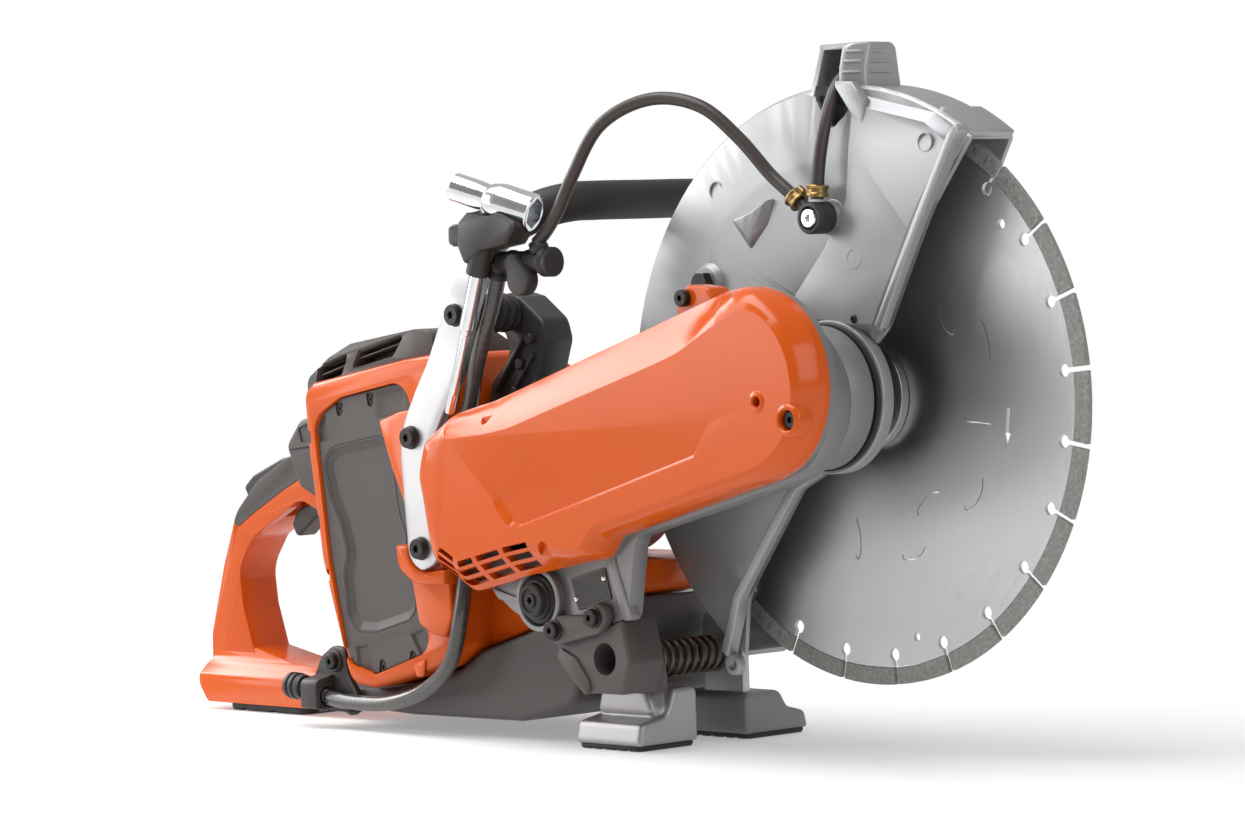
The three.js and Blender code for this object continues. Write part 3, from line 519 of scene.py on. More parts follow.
GRIT = surface("diamond_segment", "brushed_steel", (150, 150, 146), 0.75, metal=0.2, grain=900, bump=1.0,
    shift=0.2, blotch=500, speckle=0.35)
DARK_STEEL = surface("blackened_steel", "dark_steel", (52, 49, 47), 0.36, metal=0.7, grain=1400, bump=0.2,
    shift=0.1)
BRONZE = surface("spring_steel", "dark_steel", (92, 84, 74), 0.34, metal=0.8, grain=1400, bump=0.2,
    shift=0.12)
CHROME = surface("bright_plate", "chrome", (226, 228, 230), 0.13, metal=1.0, grain=700, bump=0.1,
    shift=0.05, blotch=90, spread=0.07)
BRASS = surface("brass", "brass", (150, 124, 82), 0.3, metal=1.0, grain=1300, bump=0.2, shift=0.12, blotch=60)
BLUE = surface("blue_plastic", "blue_plastic", (44, 62, 160), 0.4, grain=1500, bump=0.3)
COPPER = surface("copper_winding", None, (186, 112, 62), 0.35, metal=1.0, grain=600, bump=0.8, stretch=(1,
    0.1, 1))
# Near-black: a painted shadow for the bottoms of holes, where there is only shade.
PAINTED_SHADOW = surface("deep_shadow", "black_plastic", (14, 13, 13), 0.8, grain=900, bump=0.3)


# ---- Small hardware ----
def torx_screw(name, at, radius, height, body=ROOT, material=DARK_STEEL, collar=0.0, sign=-1, recess=0.45):
    """A screw whose head faces along Y. at is the middle of its seat; sign -1 faces the right side."""
    x, y, z = at
    top = y + sign * height
    profile = [(AXIS, y), (radius, y), (radius, top - sign * 0.8), (radius - 0.25, top - sign * 0.3),
        (radius - 0.8, top), (AXIS, top)]
    if collar:
        profile = [(AXIS, y), (collar, y), (collar, y + sign * 1.0), (radius, y + sign * 1.4),] + profile[2:]
    head = turned(name, profile, (x, z), 48)
    drive = slab("drive", star(x, z, radius * recess, radius * recess * 0.62), top + sign * 1,
        top - sign * 2.2)
    cut(head, drive)
    return done(head, material, body=body, slot=None, sharp=25)


# ---- Blade ----
def hook(points, width):
    """A thin slot along a bent line in the disc."""
    line = smooth_line([(u, 0, v) for u, v in points], 1.0)
    left, right = [], []
    for here, side, _ in frames_along(line, (0, 1, 0)):
        left.append((here.x + side.x * width / 2, here.z + side.z * width / 2))
        right.append((here.x - side.x * width / 2, here.z - side.z * width / 2))
    return slab("hook", left + right[::-1], -4, 4)


def blade():
    outline = []
    for slot_deg in SLOTS:
        turn = Matrix.Rotation(math.radians(slot_deg), 2)
        local = [(164, -1.5)] + arc(156.8, 0, 4, -22, -338, 18) + [(164, 1.5)]
        outline += [tuple(turn @ Vector(p)) for p in local]
        outline += arc(0, 0, 164, slot_deg + 1.4, slot_deg + 13.6, 6)
    disc = slab("blade_disc", outline, -1.3, 1.3)
    tools = [rod("bore", (0, 0), 12.7, -4, 4), rod("h", (111, 99.4), 3.0, -4, 4), rod("h", (32.7, -144.9),
        2.6, -4, 4)]
    arrow = [(110.9, -8), (113.4, -8), (111.6, -22.5), (113.4, -22.8), (109.0, -32), (107.2, -22.2), (109.2,
        -22.4)]
    tools.append(slab("arrow", arrow, -4, 4))
    hooks = [[(59.9, 53.3), (60.4, 45.8), (64, 38.6), (69.6, 35.4), (71, 38)], [(93.1, 43.5), (97.2, 35),
        (98.8, 26), (98.5, 20.5), (96.6, 21)], [(77, -13), (77.4, -15.4), (88, -16.6), (98, -17.6)], [(90.4,
        -49), (88.6, -58), (83, -65), (76, -68.2), (75, -66)], [(54.5, -58), (49, -58.4), (41.5, -63.4),
        (36.1, -70.4), (38, -71.6)], [(-14.4, -75), (-11.7, -84), (-11.6, -94), (-14, -99.4), (-16, -97.4)],
        [(42.2, -91), (37.4, -96), (30, -98.6), (23.2, -98), (23.4, -95.6)],]
    tools += [hook(points, 0.7) for points in hooks]
    for tool in tools:
        cut(disc, tool)
    done(disc, STEEL, "blade", body="blade_set", sharp=30)

    rims = []
    for start in SLOTS:
        lean = math.degrees(math.asin(1.5 / 175))
        outer = arc(0, 0, 174.8, start + lean, start + 15 - lean, 22)
        low = arc(0, 0, 164.3, start + 15 - lean * 1.06, start + lean * 1.06, 22)
        rims.append(slab("segment", outer + low, -1.7, 1.7))
    segments = merged("blade_segments", *rims)
    done(segments, GRIT, body="blade_set", edge=0.35, segments=2)

    notches = []
    for k, start in enumerate(SLOTS):
        for step in range(3):
            a = start + 3.6 + 3.6 * step + (k % 3) * 0.5
            notch = slab("notch", [(172.0, -0.9), (172.0, 0.9), (167.6, 0.8), (167.6, -0.8)], -1.78, 1.78)
            notch.data.transform(Matrix.Translation(SHIFT) @ Matrix.Rotation(-math.radians(a), 4, "Y")
                @ Matrix.Translation(-SHIFT))
            notches.append(notch)
    done(merged("segment_marks", *notches), SHADED_CAST, body="blade_set", slot="brushed_steel")

    flange = turned("flange_inner_turned", [(12.7, -12.5), (20, -12.5), (22, -12.2), (30, -9.2), (33, -7.6),
        (33, -1.6), (26, -1.6), (26, -3), (12.7, -3)])
    done(flange, TURNED_STEEL, "flange_inner", body="blade_set", edge=0.4)
    outer = turned("flange_outer_turned", [(12.7, 3), (26, 3), (26, 1.6), (33, 1.6), (33, 6.6), (31, 7.6),
        (22, 11.0), (20, 11.3), (5, 11.3), (5, 5.3), (12.7, 5.3)])
    done(outer, TURNED_STEEL, "flange_outer", body="blade_set", edge=0.4)
    head = slab("bolt", circle(0, 0, 10, 6), 11.6, 19)
    washer = turned("washer", [(AXIS, 11.45), (9.6, 11.45), (9.6, 12.6), (AXIS, 12.6)])
    chamfer = turned("chamfer", [(AXIS, 8), (9.5, 8), (10.2, 18.2), (8.6, 19.05), (AXIS, 19.05)])
    common(head, chamfer)
    done(merged("blade_bolt_head", head, washer), DARK_STEEL, "blade_bolt", body="blade_set", edge=0.35)


# ---- Cover ----
COVER = rounded([(-19.5, 65.3, 0), *[(u, v, 0) for u, v in arc(-2, 10, 58, 95, -60, 40)], (15.5, -45.3, 0),
    (-56, -64, 20), (-124, -82, 8), (-134, -95, 8), (-204, -107.4, 20), (-255, -119, 14), (-286, -103, 16),
    (-296.5, -46, 20), (-289, -22, 14), (-268, -7, 12), (-230, 1, 20)])


def spaced(outline, step):
    """The closed outline with points at even steps."""
    line = outline + outline[:1]
    found = []
    carry = 0.0
    for a, b in zip(line, line[1:]):
        a, b = Vector(a), Vector(b)
        length = (b - a).length
        while carry < length:
            found.append(tuple(a + (b - a) * (carry / length)))
            carry += step
        carry -= length
    return found


def ramped(value, table):
    """Straight-line interpolation in a table of (place, amount)."""
    if value <= table[0][0]:
        return table[0][1]
    for (a, low), (b, high) in zip(table, table[1:]):
        if value <= b:
            t = (value - a) / (b - a)
            t = t * t * (3 - 2 * t)
            return low + (high - low) * t
    return table[-1][1]


def cover_insets(outline):
    """How far the face's edge lies inside the outline, and how flat the slope to it is."""
    reach, flat = [], []
    for (u, v), n in zip(outline, normals(outline)):
        top = ramped(u, [(-290, 12), (-262, 17), (-232, 20), (-212, 24), (-60, 26), (-15, 19), (20, 10)])
        low = ramped(u, [(-285, 18), (-250, 20), (-180, 18), (-150, 9), (-120, 8), (20, 8)])
        share = ramped(n.y, [(-0.5, 0), (0.25, 1)])
        reach.append(low + (top - low) * share)
        slope = ramped(u, [(-285, 0.2), (-235, 0.9), (-40, 1), (5, 0)]) * ramped(n.y, [(0.2, 0), (0.7, 1)])
        bottom = ramped(u, [(-290, 0.3), (-260, 0.7), (-180, 0.6), (-150, 0.1)]) * ramped(-n.y, [(0.2, 0),
            (0.7, 1)])
        nose = 0.55 * ramped(u, [(5, 0), (30, 1)])
        flat.append(max(slope, bottom, nose))
    blur = len(reach) // 60
    def eased(values):
        n = len(values)
        return [sum(values[(i + k) % n] for k in range(-blur, blur + 1)) / (2 * blur + 1) for i in range(n)]
    return eased(reach), eased(flat)


def shoulder_rings(outline, reach, flat, shrink, y_base, y_turn, y_face, steps=10):
    rings = [[(u, y_base, v) for u, v in grown(outline, -shrink)]]
    for k in range(steps + 1):
        t = k / steps
        round_in = 1 - math.sqrt(max(0, 1 - t * t))
        moves = [-shrink - d * (round_in * (1 - f) + t * f) for d, f in zip(reach, flat)]
        y = y_turn + (y_face - y_turn) * t
        rings.append([(u, y, v) for u, v in grown(outline, moves)])
    return rings


def recess_depth(u, v):
    """The shallow field on the cover's face is deepest at its lower rear corner."""
    along = Vector((0.969, 0.248))
    from_corner = Vector((u + 205, v + 73))
    length = from_corner.dot(along)
    height = from_corner.dot(Vector((-along.y, along.x)))
    return 3.0 - 3.3 * max(0, height) / 62 - 1.9 * max(0, length) / 178


def belt_cover():
    outline = spaced(COVER, 2.2)
    reach, flat = cover_insets(outline)
    cover = loft("cover_shell", shoulder_rings(outline, reach, flat, 0, -91.6, -98.5, -115))
    hollow = loft("hollow", shoulder_rings(outline, reach, flat, 3.4, -90, -94.5, -110.2, 5))
    cut(cover, hollow)

    outer = rounded([(-180, -13, 12), (-214, -48, 9), (-219, -61, 9), (-205, -76, 10), (-193, -76, 6),
        (-135, -60, 10), (-36, -32, 4), (-14, -4, 12), (-40, 18, 14), (-110, 4, 20)], 6)
    inner = grown(outer, [-1.8 - 4.6 * max(0, min(1, (-n.x + 0.1) / 0.7)) for n in normals(outer)])
    field = loft("field", [[(u, -120, v) for u, v in grown(outer, 2)], [(u, -115.1 + min(0, recess_depth(u,
        v)), v) for u, v in outer], [(u, -115.1 + max(-3.0, recess_depth(u, v)), v) for u, v in inner]])
    cut(cover, field)

    tools = [rod("screw_hole", (43, -9.5), 5.9, -117, -86), rod("peep", (18.5, 1), 3.0, -117, -105),
        rod("pin", PLUG, 20.6, -98, -80, 64), slab("pocket", [(x * 5.4 - 173, z * 7.6 - 92) for x, z
        in circle(0, 0, 1, 32)], -118, -110.6), slab("pocket", [(x * 5.0 - 229, z * 7.4 - 6) for x, z
        in circle(0, 0, 1, 32)], -118, -106.6),]
    for tool in tools:
        cut(cover, tool)

    start = min(range(len(outline)), key=lambda i: (outline[i][0] + 184) ** 2 + (outline[i][1] + 104) ** 2)
    count = len(outline)
    sense = 1 if outline[(start + 5) % count][0] < outline[start][0] else -1
    slots = []
    for low, high in ((3.4, 7.4), (9.6, 13.4), (15.6, 19.2)):
        near_line, far_line = grown(outline, -low), grown(outline, -high)
        for first, last in ((0, 10), (12, 22), (24, 36), (38, 46)):
            run = [(start + sense * k) % count for k in range(first, last + 1)]
            slots.append(slab("slot", [near_line[i] for i in run] + [far_line[i] for i in run[::-1]], -118,
                -97))
    cut(cover, merged("slots", *slots))
    done(cover, ORANGE, "belt_cover", edge=0.8, segments=3, angle=19, sharp=19)

    ring = turned("cover_boss", [(3.0, -113.5), (3.1, -115.5), (3.8, -116.1), (6.0, -115.6), (7.2, -114.2),
        (7.2, -113.5)], (18.5, 1), 64)
    seat = turned("cover_seat", [(6.2, -105), (6.3, -115.6), (7.2, -116.3), (9.2, -115.4), (10.2, -113.4),
        (10.6, -105)], (43, -9.5), 64)
    for piece in (ring, seat):
        done(piece, ORANGE, sharp=50)
    # A near-black disc at the bottom of the peep hole: painted shadow.
    done(rod("cover_peep_painted_shadow", (18.5, 1), 3.1, -106, -105, 32), PAINTED_SHADOW)
    torx_screw("cover_screw", (43, -109.5, -9.5), 5.3, 3.4, collar=6.0)


# ---- Arm ----
def arm():
    plate = slab("arm_body", wrap(0, 0, 50, *MOTOR, 54, 60), -87, -70)
    lobe = slab("lobe", [(-262, -96), (-252, -119, 4), (-234, -131, 6), (-206, -143, 12), (-183, -146.5, 6),
        (-150, -138.5, 4), (-128, -132, 4), (-120, -88, 6), (-108, -66), (-200, -60)], -87, -75)
    fused(plate, lobe)
    fused(plate, rod("plug_boss", PLUG, 21, -86, -61, 64))
    band = slab("band", grown(COVER, -0.5), -91.6, -86)
    nose = turned("nose", [(24, -86), (43, -86), (43, -62), (42.4, -61.4), (42.4, -60.4), (43, -59.8), (43,
        -42), (41, -40), (38, -40), (38, -25), (24, -25)], sides=128)
    tools = [rod("bore", (0, 0), 24, -90, -20, 64), rod("motor", MOTOR, 40, -90, -69, 64), rod("room",
        MOTOR, 46.5, -69.8, 0, 64), rod("plug", PLUG, 16.2, -94, -50, 48)]
    for tool in tools:
        cut(plate, tool)
    baked(softened(plate, 1.6, 3, 30))
    ring = turned("ring", [(16.4, -62), (16.4, -92), (17, -93), (19.4, -93), (20, -92.2), (20, -62)], PLUG,
        80)
    web = softened(slab("web", [(-144, -87), (-149, -87), (-143, -104, 4), (-131, -134, 3), (-123, -134, 3),
        (-134, -106, 6), (-139, -88)], -88.6, -79), 1.2)
    rib = softened(slab("rib", [(-252, -117), (-206, -128), (-206, -131), (-246, -124, 3)], -88.4, -84), 0.6)
    bolts = [turned("boss", [(AXIS, -86), (6.8, -86), (6.8, -88.6), (6, -89), (AXIS, -89)], p, 40) for p
        in ((-120, 22), (-60, 40))]
    cut(band, rod("bore", (0, 0), 24, -94, -80, 64), rod("motor", MOTOR, 40, -94, -80, 64), rod("plug",
        PLUG, 21, -94, -80, 64), slab("hollow", grown(COVER, -4.4), -94, -80))
    whole = merged("arm_cast", plate, nose, ring, web, rib, band, *bolts)
    done(whole, SHADED_CAST, "arm_casting", sharp=28)
    seal = turned("nose_gap_seal", [(38.3, -39.7), (44, -39.7), (44, -37.3), (38.3, -37.3)])
    done(seal, RUBBER, "nose_seal", edge=0.4)

    tab = slab("orange_tab", [(-80, 44), (-79, 63, 4), (-69, 70, 6), (-52, 68, 6), (-44, 58), (-44, 44)],
        -84, -66)
    done(tab, ORANGE, edge=2.2)
    torx_screw("tab_screw", (-71, -84.3, 62), 5.2, 4.6)

    plug = turned("plug_rubber", [(AXIS, -70), (15.4, -70), (15.4, -91.4), (14.6, -92.4), (12.9, -93),
        (12.6, -94.6), (10.8, -95), (10.4, -98.4), (9.4, -99.2), (7.6, -99.2), (7.2, -98.2), (4.4, -98.2),
        (4.2, -99.4), (AXIS, -99.4)], PLUG, 72)
    drive = slab("drive", star(*PLUG, 2.6, 1.7), -103, -96.5)
    cut(plug, drive)
    done(plug, RUBBER, "lower_damper_plug", sharp=28)

    plate_outline = rounded([(-177.9, -109.3, 1.5), (-146.5, -101.6, 1.5), (-141.2, -121.1, 1.5), (-171.6,
        -128.9, 1.5)])
    plate = slab("type_plate_blank", plate_outline, -88.3, -87.3)
    done(plate, DARK, "rating_plate", slot="black_plastic", edge=0.25)
    field = slab("type_plate_field", grown(plate_outline, -1.6), -88.5, -88.2)
    done(field, BLACK)
    for x, z in ((-172.6, -122.2), (-147.2, -108.4)):
        rivet = turned("plate_rivet", [(AXIS, -88.4), (2.0, -88.4), (1.9, -88.9), (1.3, -89.6), (AXIS,
            -89.8)], (x, z), 24)
        done(rivet, CHROME, sharp=60)


# ---- Guard ----
def front_edge(width):
    """The line of the guard's open front edge, from the rim at the top to the rim at the bottom."""
    line = [(113, 154), (107, 149), (86, 114.5), (76, 98), (44, 40)]
    outer = [Vector(p) for p in line]
    strip = []
    for i, here in enumerate(outer):
        ahead = (outer[min(i + 1, len(outer) - 1)] - outer[max(i - 1, 0)]).normalized()
        strip.append(tuple(here + Vector((ahead.y, -ahead.x)) * width))
    return line + strip[::-1]


def guard():
    shell = turned("guard_shell", [(47, -30), (139, -30), (143, -29.7), (184, -20.8), (186, -18.5), (186,
        13.5), (185, 15.8), (182.8, 17), (146, 17), (146, 14), (183, 14), (183, -18), (140, -27), (47,
        -27)], sides=200)
    sector = slab("sector", [(132, 190), (107, 151), (86, 114.5), (76, 98), (44, 40), (0, 0), (8, -37),
        (-31, -56), (-83, -124), (-98, -167), (-112, -200), (-260, -200), (-260, 260), (132, 260)], -60, 40)
    common(shell, sector)

    hood_out = cross_slab("hood", rounded([(-27, 150), (-24.6, 196), (-20.5, 210.9, 6), (10.5, 210.9, 6),
        (14.8, 182), (14.8, 150)], 10), -20, 20)
    hood_in = cross_slab("inside", rounded([(-23.4, 130), (-21.4, 190), (-17.4, 207.6, 4), (7.4, 207.6, 4),
        (11.4, 182), (11.4, 130)], 10), -16.2, 15.5)
    def corner(inwards):
        plan = [(1 - 0.65 * inwards, -32.1 + 0.76 * inwards), (26 - 0.65 * inwards, -10.9 + 0.76 * inwards),
            (40, -10.9 + 0.76 * inwards), (40, -50), (1 - 0.65 * inwards, -50)]
        return loft("corner", [[(x, y + rise if y > -45 else y, z) for x, y in plan] for z, rise in ((120,
            0), (196, 0), (216, 6))])
    cut(hood_out, corner(0))
    cut(hood_in, corner(3.4))
    below = rod("below", (0, 0), 181, -80, 80, 160)
    cut(hood_out, below)
    baked(softened(hood_out, 1.6, 4, 30))
    fused(shell, hood_out)
    round_room = rod("room", (0, 0), 186.1, -80, 80, 200)
    cut(hood_in, round_room)
    cut(shell, hood_in)
    slanted = cross_slab("slanted", [(-24, 178), (-14, 207.4), (-14, 230), (-50, 230), (-50, 178)], -30, 6.6)
    cut(shell, slanted)
    slit = slab("slit", [(-17, 186), (-16.6, 178, 2), (-5, 163, 4), (1, 160, 3), (12, 170, 3), (6.6, 184,
        3), (6.6, 190)], -50, -12)
    cut(shell, slit)
    cut(shell, rod("bolt_hole", GUARD_BOLT, 3.4, -40, -20, 24))
    cut(shell, rod("low_hole", LOW_HOLE, 3.6, -40, -10, 32))
    baked(softened(shell, 0.9, 3, 28))

    raised_low = rounded([(14, 181, 6), (15, 150, 10), (13, 118, 14), (-7, 90, 20), (-33, 62, 6), (-34, 45,
        4), (10, 38, 8), (40, 37, 3), (73, 96, 4), (84, 114, 4), (104, 149, 4), (80, 166, 8)], 12)
    moved = grown(raised_low, -6)
    raised = softened(loft("raised", [[(u, -28.5 if math.hypot(u, v) < 146 else -21 - 0.2 * max(0,
        184 - math.hypot(u, v)), v) for u, v in raised_low], [(u, -35.2 if math.hypot(u, v) < 140 else -35.2
        + 0.19 * (math.hypot(u, v) - 140), v) for u, v in moved]]), 1.4, 3, 15)
    lip = softened(slab("lip", front_edge(5.5), -36.6, -26.6), 0.9)
    low_lip = slab("low_lip", [(8, -37), (-31, -56), (-83, -124), (-98, -167), (-103, -176), (-109, -174),
        (-104, -164), (-89, -121), (-36, -51.5), (4, -31.5)], -35.4, -26.6)
    common(low_lip, rod("rim", (0, 0), 185.6, -60, 0, 160))
    softened(low_lip, 0.8)
    top_lip = softened(slab("top_lip", arc(0, 0, 188.6, 54.6, 64, 8) + arc(0, 0, 184, 64, 54.6, 8), -19.5,
        15.5), 0.9)
    fin = softened(loft("fin", [[(-85, -29.4, 108), (-64, -29.4, 112), (-46, -29.4, 121), (-52, -29.4, 104),
        (-68, -29.4, 88)], [(-79, -34.5, 108), (-64, -37, 111), (-49, -35.5, 119), (-58, -35, 108), (-68,
        -34.5, 98)]]), 1.6, 3, 20)
    collar = softened(turned("collar", [(39.2, -36.8), (45.4, -36.8), (46, -36.2), (46, -28), (39.2, -28)],
        sides=128), 0.5)
    boss = turned("boss", [(3.5, -28), (3.5, -34), (9.6, -34), (11, -32.6), (12.4, -29.6), (14, -28.8)],
        GUARD_BOLT, 48)
    anchor = turned("anchor", [(AXIS, -28), (12.5, -28.4), (10.6, -30.4), (10, -36), (AXIS, -36)], BANJO, 48)
    low_boss = turned("low_boss", [(3.6, -28), (3.6, -33.2), (5.6, -33.2), (6.4, -32.4), (6.8, -28)],
        LOW_HOLE, 40)
    ribs = []
    for z in (205.4, 199.4, 193):
        rise = max(0, (z - 196) * 0.3)
        for (x0, y0), (x1, y1), out_way in (((9.4, -25.0 + rise), (17.6, -18.1 + rise), Vector((0.646,
                -0.763))), ((19.9, -12), (19.9, 7.6 - rise), Vector((1, 0)))):
            rings = []
            for x, y in ((x0, y0), (x1, y1)):
                rings.append([(x + out_way.x * d, y + out_way.y * d, z + dz) for d, dz in ((-1.5, -1.6),
                    (0.9, -0.8), (0.9, 0.7), (-1.5, 1.6))])
            ribs.append(softened(loft("rib", rings), 0.5))
    gusset = softened(slab("gusset", [(7.4, 188), (7.6, 184, 2), (27, 158, 2), (29.6, 160, 2), (30.6, 176,
        3), (21, 187)], -24, -30.2), 1.0, 3, 18)
    marks = [turned("mark", [(5.0, y + 2), (5.0, y), (5.2, y - 0.3), (5.7, y - 0.3), (5.9, y), (5.9, y
        + 2)], (x, z), 48) for x, z, y in ((79, 148.7, -29.9), (23.2, 81.9, -35.2), (-101.4, 126.3, -25.8))]
    whole = merged("guard_cast", shell, raised, lip, low_lip, top_lip, fin, collar, boss, anchor, low_boss,
        gusset, *marks, *ribs)
    done(whole, CAST, "guard", body="guard_set", sharp=26)
    head = slab("guard_boss_bolt", circle(*GUARD_BOLT, 7.2, 6), -40, -34.2)
    top = turned("top", [(AXIS, -30), (7.5, -30), (7.4, -39), (6.2, -40.1), (AXIS, -40.1)], GUARD_BOLT, 48)
    common(head, top)
    done(head, DARK_STEEL, body="guard_set", edge=0.3)
    torx_screw("guard_edge_screw", (22, -35.4, 46.4), 2.6, 0.9, "guard_set")


# ---- Water parts ----
def banjo_and_clamps():
    head = turned("banjo_head", [(AXIS, -36.3), (9.0, -36.3), (9.6, -37.2), (9.6, -49.6), (8.9, -50.8),
        (7.4, -51), (6.8, -50), (6.8, -47.2), (AXIS, -47.2)], BANJO, 64)
    arms = [strut("arm", (2, -43.5, 107), (2.3, -43, 116.6), [(0, 5.2), (9.4, 5.2)], 32), strut("arm", (2,
        -43.5, 107), (-6.2, -43.1, 112.4), [(0, 5.2), (9.8, 5.2)], 32)]
    done(merged("banjo_body", head, *[softened(a, 0.5) for a in arms]), BLACK, "water_banjo",
        body="guard_set", sharp=40)
    screw = turned("banjo_screw", [(AXIS, -47.3), (5.9, -47.3), (5.9, -50.2), (5.2, -51.2), (AXIS, -51.2)],
        BANJO, 40)
    cut(screw, slab("drive", star(*BANJO, 2.9, 1.9), -55, -49))
    done(screw, CHROME, "banjo_bolt", body="guard_set", sharp=28)
    for name, centre, ahead, body, node in (("clamp_brass_supply", (-13.9, -43.75, 118.6), (25.5, 3, -20.5),
            "guard_set", "hose_clamp_supply"), ("clamp_brass_spray", (2.8, -42.7, 123), (0.6, 0.6, 10),
            "guard_set", "hose_clamp_spray")):
        middle, way = Vector(centre), Vector(ahead).normalized()
        profile = [(0, 5.2), (0, 6.4), (0.8, 6.8), (2.0, 6.5), (2.6, 6.0), (4.4, 6.0), (5.0, 6.5), (6.2,
            6.8), (7, 6.4), (7, 5.2)]
        band = strut(name, middle - way * 3.5, middle + way * 3.5, profile, 40)
        side = way.cross(Vector((0, 1, 0))).normalized()
        ear_at = middle + side * 6.4
        ear = strut("ear", ear_at - way * 2.6, ear_at + way * 2.6, [(0, 2.2), (0.5, 2.6), (4.7, 2.6), (5.2,
            2.2)], 12)
        done(merged(name, band, ear), BRASS, node, body=body, sharp=35)


SUPPLY_LINE = [(-199, -87, 98.6), (-192, -86.5, 104), (-181, -86, 116), (-168, -84, 138), (-147, -78, 169),
    (-113, -68, 183), (-77, -60, 177), (-52, -52, 156), (-33, -46, 134), (-20, -44.47, 123.55), (-7.5, -43,
    113.5)]
SPRAY_LINE = [(2.4, -43, 118), (3.4, -42, 136), (4, -38, 156), (3, -31, 172), (2, -21, 187), (2, -9, 195),
    (2, 1, 197)]
FEED_LINE = [(-436, -72, -197), (-421, -72, -198.5), (-373, -74, -197), (-332, -77, -186), (-302, -81,
    -166), (-292, -80, -136), (-293, -74, -108), (-294, -72.5, -60), (-291, -72.5, -20), (-280, -75, 2),
    (-266, -82, 22), (-254, -86, 39), (-243, -87.5, 58), (-235.5, -88, 77)]


def hose(name, knots, radius, node, material, body):
    line = smooth_line(knots, 3.0)
    piece = tube(name, line, radius, 24)
    done(piece, material, node, body=body, slot="rubber")
    return piece


# ---- Frame, panel and vent ----
FRAME = rounded([(-450, 6, 12), (-440, 12, 8), (-349, 26.5, 10), (-318, 30, 6), (-304, 30, 6), (-300, -40),
    (-300, -158, 8), (-320, -172, 12), (-388, -188, 8), (-412, -186, 14), (-437, -105), (-447, -33)])
PANEL = rounded([(-440, -12, 16), (-412, 2, 12), (-340, 14, 16), (-343, -60), (-343, -126), (-326, -160,
    12), (-386, -179, 12), (-414, -172, 12), (-429, -105)])


def shoulder():
    return cross_slab("shoulder", [(-14, 48), (90, -16), (90, 80), (-14, 80)], -480, -250)


def body_frame():
    shell = slab("frame_orange", FRAME, -75, 76)
    cut(shell, shoulder())
    baked(softened(shell, 4.5, 4, 30))
    shelf = softened(slab("shelf", [(-303, -103), (-303, -160), (-172, -120), (-172, -103)], -48, 60), 2)
    seat = slab("seat", grown(PANEL, 0.4), -80, -69)
    bay = slab("bay", [(-428, -158, 5), (-344, -158, 5), (-344, -22, 5), (-428, -22, 5)], -65, 90)
    latch = slab("latch_room", [(-403, -30), (-371, -30), (-371, -13.5, 3), (-403, -13.5, 3)], 60, 90)
    clips = [slab("clip", [(u - 2.4, v - 4), (u + 2.4, v - 4.6), (u + 2.0, v + 4), (u - 2.8, v + 4)], -80,
        -71) for u, v in ((-445.4, -24), (-439.5, -80), (-431.2, -115), (-416.4, -167))]
    cut(shell, seat, bay, latch, *clips)
    baked(softened(shell, 0.9, 3, 28))

    pad = softened(slab("pad", [(-369, -13, 2), (-349, -7, 2), (-309, -2, 6), (-309, -116, 6), (-334, -100,
        6), (-344, -70, 8), (-357, -44, 8)], -78.7, -71), 1.4)
    cup_out = rounded([(-347.5, -92, 2), (-345, -108, 12), (-330, -117, 10), (-300, -117), (-300, -108),
        (-306, -108), (-318, -109.5, 12), (-335.5, -107, 14), (-336.6, -94, 2)])
    cup = softened(slab("cup", cup_out, -86, -71), 1.2)
    rib = softened(slab("rib", [(-342, -109, 4), (-302, -109), (-301, -138, 10), (-309, -152, 5), (-322,
        -150, 6), (-335, -144, 5)], -79.5, -71), 2.2)
    notch = softened(slab("notch", [(-345, -170, 1), (-333, -167, 1), (-335, -178, 2), (-342, -179, 2)],
        -76.4, -68), 0.6)
    whole = merged("frame_orange_shell", shell, shelf, pad, cup, rib, notch)
    done(whole, ORANGE, "body_frame", sharp=27)

    lining = slab("bay_lining", [(-430, -160, 6), (-342, -160, 6), (-342, -20, 6), (-430, -20, 6)], 74.6,
        76.2)
    cut(lining, slab("open", [(-428, -158, 5), (-344, -158, 5), (-344, -22, 5), (-428, -22, 5)], 70, 80))
    cut(lining, slab("open", [(-403, -30), (-371, -30), (-371, -10), (-403, -10)], 70, 80))
    done(lining, DARK, edge=0.3)
    for u, v in ((-436, -2), (-330, 8), (-312, -150), (-416, -176)):
        torx_screw("left_side_screw", (u, 74.6, v), 3.6, 1.9, sign=1)


